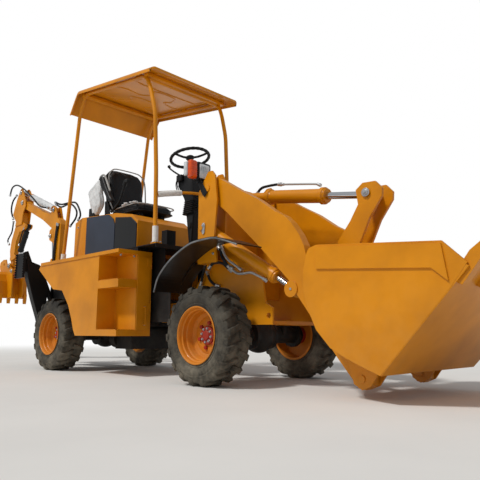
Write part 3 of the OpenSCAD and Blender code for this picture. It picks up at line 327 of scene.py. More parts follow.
class Form:
    """A mesh under construction, in metres on the frame's axes."""

    def __init__(self) -> None:
        """Start with nothing."""
        self.bm = bmesh.new()

    def skin(self, rings: list[list[Vector]], loop: bool = False) -> None:
        """Join rings of points into a closed skin.

        Args:
            rings: rings with the same number of points.
            loop: True where the last ring joins the first; else the two ends get a face.
        """
        made = [[self.bm.verts.new(p) for p in ring] for ring in rings]
        pairs = list(zip(made, made[1:])) + ([(made[-1], made[0])] if loop else [])
        for a, b in pairs:
            for k in range(len(a)):
                n = (k + 1) % len(a)
                self.bm.faces.new((a[k], a[n], b[n], b[k]))
        if not loop:
            self.bm.faces.new(made[0][::-1])
            self.bm.faces.new(made[-1])

    def lathe(self, profile: list[Flat], centre: Vector, axis: Vector, steps: int = 48) -> None:
        """Turn a closed profile round an axis.

        Args:
            profile: radius and distance along the axis, millimetres, as a closed line.
            centre: point of the axis where the distance is 0.
            axis: direction of the axis.
            steps: number of steps round the axis.
        """
        turn = axis.normalized().to_track_quat("Z", "Y").to_matrix()
        rings = []
        for a in round_turn(steps):
            rings.append([centre + turn @ Vector((r * math.cos(a), r * math.sin(a), s)) * MM for r, s in profile])
        self.skin(rings, loop=True)

    def rod(self, a: Vector, b: Vector, radius: float, steps: int = 24, edge: float = 1.0) -> None:
        """Add a round bar from a to b with chamfered ends, radius and edge in millimetres."""
        h = (b - a).length / MM
        e = min(edge, radius * 0.4, h * 0.4)
        self.lathe([(0, 0), (radius - e, 0), (radius, e), (radius, h - e), (radius - e, h), (0, h)], a, b - a, steps)

    def sweep(self, points: list[Vector], radius: float, sides: int = 10) -> None:
        """Add a round tube along a line of points, radius in millimetres."""
        rings, normal = [], None
        for i, p in enumerate(points):
            before, after = points[max(i - 1, 0)], points[min(i + 1, len(points) - 1)]
            t = (after - before).normalized()
            if normal is None:
                normal = t.orthogonal().normalized()
            normal = (normal - t * normal.dot(t)).normalized()
            side = t.cross(normal)
            rings.append([p + (normal * math.cos(a) + side * math.sin(a)) * radius * MM for a in round_turn(sides)])
        self.skin(rings)

    def plate(self, outline: list[Flat], lo: float, hi: float, plane: str = "xz", edge: float = 1.5) -> None:
        """Add a plate with a drawn outline and chamfered edges.

        Args:
            outline: points of the outline in the plane, drawing millimetres.
            lo: start of the thickness on the third axis.
            hi: end of the thickness on the third axis.
            plane: the two axes of the outline, "xz", "yz" or "xy".
            edge: chamfer of the rims.
        """
        def point(a: float, b: float, c: float) -> Vector:
            """Return the frame point of outline point a, b at depth c."""
            values = dict(zip(plane, (a, b)))
            values[next(n for n in "xyz" if n not in plane)] = c
            return at(values["x"], values["y"], values["z"])
        part = bmesh.new()
        low = [part.verts.new(point(a, b, lo)) for a, b in outline]
        high = [part.verts.new(point(a, b, hi)) for a, b in outline]
        n = len(outline)
        part.faces.new(low)
        part.faces.new(high[::-1])
        for k in range(n):
            part.faces.new((low[k], high[k], high[(k + 1) % n], low[(k + 1) % n]))
        self.blend_in(part, edge)

    def box(self, lo: Spot, hi: Spot, edge: float = 1.5, segments: int = 2) -> None:
        """Add a box with rounded edges between two corners in drawing millimetres."""
        part = bmesh.new()
        bmesh.ops.create_cube(part, size=1)
        a, b = at(*lo), at(*hi)
        mid, size = (a + b) / 2, b - a
        for v in part.verts:
            v.co = Vector((v.co.x * size.x, v.co.y * size.y, v.co.z * size.z))
        if edge:
            bmesh.ops.bevel(part, geom=part.edges[:], offset=edge * MM, segments=segments, affect="EDGES",
                profile=0.5)
        for v in part.verts:
            v.co = v.co + mid
        self.take(part)

    def blend_in(self, part: BMesh, edge: float) -> None:
        """Chamfer a loose part's sharp edges and take it in."""
        bmesh.ops.recalc_face_normals(part, faces=part.faces[:])
        if edge:
            sharp = [e for e in part.edges if len(e.link_faces) == 2 and e.calc_face_angle(0) > 0.6]
            bmesh.ops.bevel(part, geom=sharp, offset=edge * MM, segments=2, affect="EDGES", profile=0.5,
                clamp_overlap=True)
        self.take(part)

    def take(self, part: BMesh) -> None:
        """Take a loose part's faces into this form."""
        spare = bpy.data.meshes.new("spare")
        part.to_mesh(spare)
        part.free()
        self.bm.from_mesh(spare)
        bpy.data.meshes.remove(spare)

    def ball(self, centre: Vector, radius: float, squash: float = 1.0) -> None:
        """Add a ball, radius in millimetres, flattened along Z by squash."""
        place = Matrix.Translation(centre) @ Matrix.Diagonal((1, 1, squash, 1))
        bmesh.ops.create_uvsphere(self.bm, u_segments=20, v_segments=12, radius=radius * MM, matrix=place)

    def mesh(self, name: str) -> Mesh:
        """Close the form and return it as a mesh with sharp edges kept."""
        bmesh.ops.remove_doubles(self.bm, verts=self.bm.verts[:], dist=1e-6)
        bmesh.ops.dissolve_degenerate(self.bm, edges=self.bm.edges[:], dist=1e-7)
        bmesh.ops.recalc_face_normals(self.bm, faces=self.bm.faces[:])
        mesh = bpy.data.meshes.new(name)
        self.bm.to_mesh(mesh)
        self.bm.free()
        mesh.polygons.foreach_set("use_smooth", [True] * len(mesh.polygons))
        mesh.set_sharp_from_angle(angle=math.radians(33))
        return mesh


def settle(mesh: Mesh | Form, name: str, finish: Finish, body: str, stands_for: tuple[str, ...] = ()) -> Object:
    """Make a piece of a mesh: its finish, its body and the nodes that it stands for.

    Args:
        mesh: the mesh, or the form that makes it.
        name: name of the piece.
        finish: its finish.
        body: the CAD body that it moves with.
        stands_for: CAD nodes that it replaces.

    Returns:
        The piece's object.
    """
    if isinstance(mesh, Form):
        mesh = mesh.mesh(name)
    mesh.materials.clear()
    mesh.materials.append(finish.material())
    piece = stood(name, mesh)
    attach(piece, body)
    if stands_for:
        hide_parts(*stands_for)
    LOG.info("%s: %d faces, rides on %s", name, len(mesh.polygons), body)
    return piece


def dress(finish: Finish, *nodes: str) -> None:
    """Give CAD nodes a finish.

    Args:
        finish: the finish.
        nodes: names of the nodes.
    """
    for name in nodes:
        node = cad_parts.get(name)
        if node is None:
            continue
        node.data.materials.clear()
        node.data.materials.append(finish.material())
    LOG.info("%s on %s", finish.name, ", ".join(nodes))


def smooth_path(points: list[Spot], steps: int = 6) -> list[Vector]:
    """Round a line of drawing points into a smooth curve through them.

    Args:
        points: points in drawing millimetres.
        steps: number of steps between two points.

    Returns:
        Points in the frame.
    """
    p = [at(*q) for q in points]
    p = [2 * p[0] - p[1], *p, 2 * p[-1] - p[-2]]
    line = []
    for a, b, c, d in zip(p, p[1:], p[2:], p[3:]):
        for k in range(steps):
            t = k / steps
            square, cube = (2 * a - 5 * b + 4 * c - d) * t * t, (3 * b - a - 3 * c + d) * t ** 3
            line.append(0.5 * (2 * b + (c - a) * t + square + cube))
    return [*line, p[-2]]


# Geometry Nodes patterns


class Pattern:
    """Geometry Nodes trees that repeat a seed shape, realized and finished."""

    def __init__(self) -> None:
        """Build the two trees: round an axis, and on given points."""
        self.ring = self.ring_tree()
        self.spread = self.spread_tree()

    def new_tree(self, name: str, sockets: list[tuple[str, str]]) -> NodeTree:
        """Start a tree with its named inputs.

        Args:
            name: name of the tree.
            sockets: name and type of each input.

        Returns:
            The tree, with its input and output nodes.
        """
        tree = bpy.data.node_groups.new(name, "GeometryNodeTree")
        tree.interface.new_socket("Geometry", in_out="OUTPUT", socket_type="NodeSocketGeometry")
        for label, kind in [("Geometry", "NodeSocketGeometry"), *sockets]:
            tree.interface.new_socket(label, in_out="INPUT", socket_type=kind)
        return tree

    def close_tree(self, tree: NodeTree, source: Node, instances: NodeSocket) -> NodeTree:
        """End a tree in Realize Instances and Set Material."""
        real = add(tree, "GeometryNodeRealizeInstances", {0: instances})
        coated = add(tree, "GeometryNodeSetMaterial", {"Geometry": real.outputs[0],
            "Material": source.outputs["Finish"]})
        add(tree, "NodeGroupOutput", {0: coated.outputs[0]})
        return tree

    def ring_tree(self) -> NodeTree:
        """Build the tree that turns copies of the seed shape round the Y axis."""
        tree = self.new_tree("turned_row", [("Seed Shape", "NodeSocketObject"), ("Count", "NodeSocketInt"),
            ("Pitch", "NodeSocketFloat"), ("Phase", "NodeSocketFloat"), ("Finish", "NodeSocketMaterial")])
        source = add(tree, "NodeGroupInput")
        line = add(tree, "GeometryNodeMeshLine", {"Count": source.outputs["Count"], "Offset": (0, 0, 0)})
        index = add(tree, "GeometryNodeInputIndex")
        step = add(tree, "ShaderNodeMath", {0: index.outputs[0], 1: source.outputs["Pitch"],
            2: source.outputs["Phase"]}, operation="MULTIPLY_ADD")
        turn = add(tree, "ShaderNodeCombineXYZ", {1: step.outputs[0]})
        seed = add(tree, "GeometryNodeObjectInfo", {0: source.outputs["Seed Shape"]})
        copies = add(tree, "GeometryNodeInstanceOnPoints", {"Points": line.outputs[0],
            "Instance": seed.outputs["Geometry"], "Rotation": turn.outputs[0]})
        return self.close_tree(tree, source, copies.outputs[0])

    def spread_tree(self) -> NodeTree:
        """Build the tree that sets the seed shape on the host's points, turned as their attribute says."""
        tree = self.new_tree("shapes_on_points", [("Seed Shape", "NodeSocketObject"), ("Size", "NodeSocketFloat"),
            ("Finish", "NodeSocketMaterial")])
        source = add(tree, "NodeGroupInput")
        turn = add(tree, "GeometryNodeInputNamedAttribute", {"Name": "turn"}, data_type="FLOAT_VECTOR")
        seed = add(tree, "GeometryNodeObjectInfo", {0: source.outputs["Seed Shape"]})
        copies = add(tree, "GeometryNodeInstanceOnPoints", {"Points": source.outputs["Geometry"],
            "Instance": seed.outputs["Geometry"], "Rotation": turn.outputs[0], "Scale": source.outputs["Size"]})
        return self.close_tree(tree, source, copies.outputs[0])

    def run(self, tree: NodeTree, seed: Mesh, finish: Finish, host: Mesh | None, **sizes: float) -> Mesh:
        """Run a tree once and return its result as a plain mesh.

        Args:
            tree: the tree.
            seed: mesh of the shape that repeats.
            finish: finish of the result.
            host: mesh whose points carry the copies, where the tree needs one.
            sizes: values of the tree's named inputs, with _ for a space.

        Returns:
            The mesh of all copies.
        """
        seed_object = stood("seed_shape", seed)
        holder = stood("pattern_host", host or bpy.data.meshes.new("pattern_host"))
        modifier = holder.modifiers.new("pattern", "NODES")
        modifier.node_group = tree
        keys = {s.name: s.identifier for s in tree.interface.items_tree if s.in_out == "INPUT"}
        values = {"Seed Shape": seed_object, "Finish": finish.material(),
            **{k.replace("_", " "): v for k, v in sizes.items()}}
        for label, value in values.items():
            modifier[keys[label]] = value
        bpy.context.view_layer.update()
        deps = bpy.context.evaluated_depsgraph_get()
        mesh = bpy.data.meshes.new_from_object(holder.evaluated_get(deps))
        for o in (holder, seed_object):
            bpy.data.objects.remove(o)
        return mesh

    def round_axis(self, seed: Form, count: int, finish: Finish, centre: Vector, phase: float = 0.0) -> Mesh:
        """Turn copies of a seed shape, drawn about the Y axis, round a centre.

        Args:
            seed: the shape, in metres about the origin.
            count: number of copies in a full turn.
            finish: finish of the copies.
            centre: where the axis passes.
            phase: angle of the first copy, in radians.

        Returns:
            The mesh of all copies, in place.
        """
        mesh = self.run(self.ring, seed.mesh("seed"), finish, None, Count=count, Pitch=math.tau / count, Phase=phase)
        mesh.transform(Matrix.Translation(centre))
        return mesh

    def on_points(self, seed: Form, places: list[tuple[Vector, Vector]], finish: Finish, size: float = 1.0) -> Mesh:
        """Set copies of a seed shape, drawn along +Z from the origin, on points.

        Args:
            seed: the shape, in metres.
            places: point and direction of each copy.
            finish: finish of the copies.
            size: scale of every copy.

        Returns:
            The mesh of all copies.
        """
        host = bpy.data.meshes.new("points")
        host.from_pydata([tuple(p) for p, _ in places], [], [])
        turns = host.attributes.new("turn", "FLOAT_VECTOR", "POINT")
        for i, (_, d) in enumerate(places):
            turns.data[i].vector = d.normalized().to_track_quat("Z", "Y").to_euler()
        return self.run(self.spread, seed.mesh("seed"), finish, host, Size=size)


def joined(*meshes: Mesh) -> Form:
    """Return one form of several meshes."""
    form = Form()
    for mesh in meshes:
        form.bm.from_mesh(mesh)
    return form


def bolt_seed(across: float, head: float, washer: float = 0.0) -> Form:
    """Draw a hexagon bolt head on a washer, sizes in millimetres.

    Args:
        across: width across the flats.
        head: height of the head.
        washer: diameter of the washer, or 0.

    Returns:
        The seed shape.
    """
    form = Form()
    r, base = across / math.sqrt(3), 2.5 if washer else 0
    if washer:
        form.lathe([(0, 0), (washer / 2 - 0.5, 0), (washer / 2, 0.6), (washer / 2, 2), (washer / 2 - 0.6, base),
            (0, base)], Vector(), Vector((0, 0, 1)), 20)
    rings = []
    for s, share in ((base, 1), (base + head - 1.2, 1), (base + head, 0.86)):
        rings.append([Vector((r * share * math.cos(k * math.pi / 3), r * share * math.sin(k * math.pi / 3), s)) * MM
            for k in range(6)])
    form.skin(rings)
    return form


# the studio


@dataclass
class Studio:
    """Camera at the photograph's angle, pale floor and soft light."""

    place: Spot = (4.93234, -3.45119, 0.40820)
    right: Spot = (0.70735769, 0.70684537, 0.00383527)
    up: Spot = (0.11726742, -0.12269959, 0.98549133)
    back: Spot = (0.69706057, -0.69664512, -0.16968244)
    lens: float = 40.348
    sun_from: Spot = (-0.25, -0.85, 1.1)
    sun_power: float = 2.0
    room_light: float = 0.46

    def camera(self) -> None:
        """Set up the camera."""
        data = bpy.data.cameras.new("camera")
        data.lens, data.sensor_width, data.clip_end = self.lens, 36.0, 200.0
        camera = stood("camera", data)
        turn = Matrix((self.right, self.up, self.back)).transposed().to_4x4()
        camera.matrix_world = Matrix.Translation(self.place) @ turn
        bpy.context.scene.camera = camera

    def light(self) -> None:
        """Set up the world, which looks white to the camera, and a soft sun."""
        scene = bpy.context.scene
        scene.view_settings.view_transform = "Standard"
        world = bpy.data.worlds.new("studio")
        scene.world = world
        tree = blank_tree(world)
        path = add(tree, "ShaderNodeLightPath")
        seen = add(tree, "ShaderNodeMath", {0: path.outputs["Is Camera Ray"], 1: path.outputs["Is Transmission Ray"]},
            operation="MAXIMUM")
        room = add(tree, "ShaderNodeBackground", {"Color": linear("#F1F3F6"), "Strength": self.room_light})
        white = add(tree, "ShaderNodeBackground", {"Color": (1, 1, 1, 1), "Strength": 1.0})
        mixed = add(tree, "ShaderNodeMixShader", {0: seen.outputs[0], 1: room.outputs[0], 2: white.outputs[0]})
        add(tree, "ShaderNodeOutputWorld", {0: mixed.outputs[0]})
        sun = bpy.data.lights.new("window_sun", "SUN")
        sun.energy, sun.angle, sun.color = self.sun_power, math.radians(7), (1.0, 0.975, 0.94)
        lamp = stood("window_sun", sun)
        lamp.rotation_euler = Vector(self.sun_from).to_track_quat("Z", "Y").to_euler()

    def floor(self) -> None:
        """Lay a pale floor that fades into the white background."""
        bm = bmesh.new()
        bmesh.ops.create_grid(bm, x_segments=1, y_segments=1, size=60)
        mesh = bpy.data.meshes.new("floor")
        bm.to_mesh(mesh)
        bm.free()
        floor = stood("floor", mesh)
        # sealed concrete: pale, matt, with faint clouds
        material = bpy.data.materials.new("pale_floor")
        tree = blank_tree(material)
        where = add(tree, "ShaderNodeTexCoord").outputs["Object"]
        tint = blend(tree, cloud(tree, where, 1.6, 6.0), linear("#DAD9D6"), linear("#E4E3E0"))
        matt = add(tree, "ShaderNodeBsdfDiffuse", {"Color": tint})
        white = add(tree, "ShaderNodeEmission", {"Color": (1, 1, 1, 1), "Strength": 1.0})
        far = add(tree, "ShaderNodeVectorMath", {0: where}, operation="LENGTH").outputs["Value"]
        fade = add(tree, "ShaderNodeMapRange", {"Value": far, "From Min": 4.5, "From Max": 14.0},
            interpolation_type="SMOOTHSTEP").outputs[0]
        surface = add(tree, "ShaderNodeMixShader", {0: fade, 1: matt.outputs[0], 2: white.outputs[0]})
        add(tree, "ShaderNodeOutputMaterial", {0: surface.outputs[0]})
        mesh.materials.append(material)


# wheels


@dataclass
class Wheels:
    """Four lugged tyres on dished rims with red hubs."""

    pattern: Pattern
    tyre_d: float = 773.0
    tyre_w: float = 264.0
    lug_h: float = 24.0
    rim_d: float = 448.0
    wheelbase: float = 2467.0
    track: float = 1180.0
    lugs: int = 18
    corners: tuple[tuple[str, int, int], ...] = (("front_right", 1, -1), ("front_left", 1, 1), ("rear_right", -1, -1),
        ("rear_left", -1, 1))

    def tyre_form(self) -> Form:
        """Draw the carcass, about the origin on the Y axis, with its rings and bead."""
        r, w, seat = self.tyre_d / 2, self.tyre_w / 2, self.rim_d / 2 - 13
        floor = r - self.lug_h
        side = [(seat, 100), (seat + 6, 113), (seat + 16, 118), (seat + 22, 117), (seat + 26, 121), (seat + 33, 122),
            (seat + 36, 118.5), (seat + 52, 127), (seat + 66, 131.3), (seat + 78, w), (seat + 92, 131),
            (seat + 97, 128.5), (seat + 102, 130), (seat + 108, 129.5), (seat + 113, 126), (floor - 18, 124),
            (floor - 6, 117), (floor, 104)]
        profile = [*side, (floor + 1.5, 50), (floor + 2, 0), (floor + 1.5, -50), *[(a, -b) for a, b in side[::-1]]]
        form = Form()
        form.lathe(profile, Vector(), Vector((0, 1, 0)), 96)
        return form

    def lug_form(self, side: int) -> Form:
        """Draw one lug of the row on that side: broad, slanted and tapered, with its end on the shoulder."""
        r, w, lift = self.tyre_d / 2, self.tyre_w / 2, self.lug_h
        half = math.pi / self.lugs
        # stations from the middle of the tread to the shoulder: across, angle, half width, top radius, root radius
        rows = [(-9, -0.10, 0.34, r - 1.5, r - lift - 2), (18, -0.02, 0.37, r, r - lift - 2),
            (62, 0.32, 0.41, r, r - lift - 2), (w - 26, 0.62, 0.46, r - 1.5, r - lift - 4),
            (w - 13, 0.70, 0.47, r - 9, r - lift - 12), (w - 5, 0.76, 0.46, r - 26, r - lift - 26),
            (w - 2.5, 0.79, 0.42, r - 46, r - lift - 34)]
        rings = []
        for y, turn, wide, top, root in rows:
            ring = []
            for share, radius in ((-1.0, root), (-0.82, top), (0.82, top), (1.0, root)):
                a = half * (turn + share * wide)
                ring.append(Vector((radius * math.sin(a), side * y, radius * math.cos(a))) * MM)
            rings.append(ring)
        form, lug = Form(), Form()
        lug.skin(rings)
        form.blend_in(lug.bm, 2.2)
        return form

    def rim_form(self, side: int) -> Form:
        """Draw the rim: rolled flanges, seat, stepped dish and disc, seen from the side's outer face."""
        f = self.rim_d / 2
        profile = [(f - 20, -127), (f - 3, -127.5), (f, -125), (f - 0.5, -121), (f - 12, -117), (f - 14, -112),
            (f - 14, 112), (f - 12, 117), (f - 0.5, 121), (f, 125), (f - 3, 127.8), (f - 9, 127), (f - 15, 121),
            (f - 18, 112), (f - 21, 96), (f - 27, 92), (f - 30, 88), (f - 31, 58), (f - 37, 52), (f - 40, 46),
            (f - 43, 8), (f - 47, 0), (f - 56, -4), (f - 74, -8), (f - 78, -11), (f - 82, -8.5), (f - 118, -9),
            (73, -12), (73, -24), (f - 60, -24), (f - 36, -30), (f - 24, -66)]
        form = Form()
        form.lathe(profile, Vector(), Vector((0, side, 0)), 96)
        return form

    def hub_form(self, side: int) -> Form:
        """Draw the red hub with its stepped cap."""
        form = Form()
        form.lathe([(0, -58), (72, -58), (74, -56), (74, 2), (72, 6), (66, 8), (40, 9), (38, 12), (37, 17), (33, 20),
            (0, 21)], Vector(), Vector((0, side, 0)), 48)
        return form

    def place(self, fore: int, side: int) -> Vector:
        """Return the centre of the wheel at that corner."""
        return at(fore * self.wheelbase / 2, side * self.track / 2, self.tyre_d / 2)

    def set_at(self, form: Form, centre: Vector) -> Mesh:
        """Return the mesh of a form drawn about the origin, moved to the wheel's centre."""
        mesh = form.mesh("turned")
        mesh.transform(Matrix.Translation(centre))
        return mesh

    def build(self) -> None:
        """Make the four wheels."""
        for name, fore, side in self.corners:
            centre = self.place(fore, side)
            body = f"wheel_{name}"
            settle(self.set_at(self.tyre_form(), centre), f"carcass_{name}", RUBBER, body, (f"tyre_{name}",))
            rows = [self.pattern.round_axis(self.lug_form(s), self.lugs, LUG_RUBBER, centre,
                0 if s < 0 else math.pi / self.lugs) for s in (-1, 1)]
            settle(joined(*rows), f"lugs_{name}", LUG_RUBBER, body)
            settle(self.set_at(self.rim_form(side), centre), f"dished_rim_{name}", RIM_ENAMEL, body, (f"rim_{name}",))
            settle(self.set_at(self.hub_form(side), centre), f"hub_{name}", HUB_RED, body)
            out = Vector((0, side, 0))
            settle(self.studs(centre, out, 97, 6, 27, 15, -9, HUB_RED), f"wheel_nuts_{name}", HUB_RED, body)
            settle(self.studs(centre, out, 54, 8, 17, 9, 8, ZINC), f"hub_bolts_{name}", ZINC, body)
            valve = Form()
            spot = centre + Vector((0.150 * math.sin(0.5), side * -0.006, 0.150 * math.cos(0.5)))
            valve.rod(spot, spot + out * 0.022, 5.5, 16)
            valve.rod(spot, spot + out * 0.004, 11, 20)
            settle(valve, f"valve_{name}", HOSE, body)

    def studs(self, centre: Vector, out: Vector, radius: float, count: int, across: float, head: float, depth: float,
            finish: Finish) -> Mesh:
        """Set bolt heads in a circle on a wheel.

        Args:
            centre: centre of the wheel.
            out: direction out of the machine.
            radius: radius of the bolt circle.
            count: number of bolts.
            across: width across flats.
            head: height of a head.
            depth: where they sit, outwards from the wheel's middle.
            finish: their finish.

        Returns:
            The mesh of the bolts.
        """
        places = []
        for a in round_turn(count):
            a += 0.2
            places.append((centre + Vector((radius * math.sin(a), 0, radius * math.cos(a))) * MM + out * depth * MM,
                out))
        return self.pattern.on_points(bolt_seed(across, head, across * 1.25), places, finish)


# canopy


@dataclass
class Canopy:
    """Moulded roof: one curved sheet with rolled edges, beads under it and a skirt at the rear."""

    bend: Flat = (-1143.0, 3231.0)
    front: Flat = (371.0, 2996.0)
    skirt: Flat = (-1321.0, 2985.0)
    half: float = 594.0
    sheet: float = 6.0
    roll: float = 46.0
    rim_drop: float = 58.0
    # lines of the pressed beads, x and y
    beads: tuple[tuple[Flat, ...], ...] = (((-1010, -430), (-930, -360), (-935, -120), (-800, -60), (-690, -150),
        (-640, -60), (-650, 180), (-800, 260), (-900, 200), (-1000, 320), (-1010, 440)),
        ((-560, -440), (-500, -330), (-520, -120), (-400, -40), (-300, -120), (-240, -20), (-260, 170), (-400, 240),
        (-500, 200), (-560, 320), (-560, 440)), ((-130, -420), (190, -430), (260, -330), (265, 330), (190, 430),
        (-130, 420), (-190, 330), (-195, -330), (-130, -420)))

    def height(self, x: float) -> float:
        """Return the roof's height at x, millimetres."""
        return self.bend[1] + (x - self.bend[0]) * (self.front[1] - self.bend[1]) / (self.front[0] - self.bend[0])

    def path(self) -> list[Flat]:
        """Return the roof's line from the skirt's edge over the bend to the front lip."""
        line = [self.skirt, (-1290, 3028), (-1255, 3080), (-1222, 3128), (-1190, 3172), (-1162, 3205), (-1130, 3225),
            (-1090, 3222)]
        line += [(x, self.height(x)) for x in range(-1000, 340, 100)]
        return [*line, (350, self.height(350)), (366, self.height(366) - 3), (371, self.height(371) - 12),
            (372, self.height(371) - 30)]

    def section(self, inset: float) -> list[Flat]:
        """Return half width and drop of the section's points, from the right rim over the top to the left."""
        half, r = self.half - inset, self.roll - inset
        arc = [(-half + r - r * math.cos(math.radians(a)), -r + r * math.sin(math.radians(a)) - inset)
            for a in range(0, 91, 15)]
        right = [(-half, -self.rim_drop), *arc]
        top = [(y, -inset) for y in (-430, -300, -150, 0, 150, 300, 430)]
        return [*right, *top, *[(-y, d) for y, d in right[::-1]]]

    def build(self) -> None:
        """Make the shell and its beads."""
        path = self.path()
        outer, inner = self.section(0), self.section(self.sheet)
        rings = []
        for i, (x, z) in enumerate(path):
            (xa, za), (xb, zb) = path[max(i - 1, 0)], path[min(i + 1, len(path) - 1)]
            d = math.hypot(xb - xa, zb - za)
            nx, nz = -(zb - za) / d, (xb - xa) / d
            rings.append([at(x + nx * drop, y, z + nz * drop) for y, drop in (*outer, *inner[::-1])])
        shell = Form()
        shell.skin(rings)
        settle(shell, "canopy_shell", ENAMEL, "rear_frame", ("canopy_roof",))
        pressed = Form()
        for line in self.beads:
            pressed.sweep(smooth_path([(x, y, self.height(x) - 2) for x, y in line], 5), 13, 10)
        settle(pressed, "canopy_beads", ENAMEL, "rear_frame")
        bar = Form()
        for x, wide, low, high in ((150, 46, 52, 16), (-1120, 44, 78, 24)):
            bar.box((x, -540, self.height(x) - low), (x + wide, 540, self.height(x) - high), 4)
        settle(bar, "canopy_bars", ENAMEL, "rear_frame")


# seat


def puffed(form: Form, name: str, cap: float, voxel: float = 8.0) -> Mesh:
    """Swell a closed form as a filled cover swells: even mesh, Cloth under pressure, capped.

    Args:
        form: the cushion's shape, a little too small.
        name: name of the mesh.
        cap: how far a point may move, millimetres.
        voxel: size of the even mesh's faces, millimetres.

    Returns:
        The swollen mesh.
    """
    pad = stood("pad", form.mesh(name))
    even = pad.modifiers.new("even_mesh", "REMESH")
    even.mode, even.voxel_size = "VOXEL", voxel * MM
    pad.data = bpy.data.meshes.new_from_object(pad.evaluated_get(bpy.context.evaluated_depsgraph_get()))
    pad.modifiers.clear()
    mesh = pad.data
    start = [v.co.copy() for v in mesh.vertices]
    swell = pad.modifiers.new("swell", "CLOTH")
    swell.settings.quality = 4
    swell.settings.use_pressure = True
    swell.settings.uniform_pressure_force = PRESSURE
    swell.settings.effector_weights.gravity = 0.0
    for step in range(1, LAST_FRAME + 1):
        bpy.context.scene.frame_set(step)
    mesh = bpy.data.meshes.new_from_object(pad.evaluated_get(bpy.context.evaluated_depsgraph_get()))
    for v, p in zip(mesh.vertices, start):
        move = v.co - p
        if move.length > cap * MM:
            v.co = p + move.normalized() * cap * MM
    pad.modifiers.clear()
    bpy.context.scene.frame_set(1)
    bpy.data.objects.remove(pad)
    mesh.polygons.foreach_set("use_smooth", [True] * len(mesh.polygons))
    return mesh


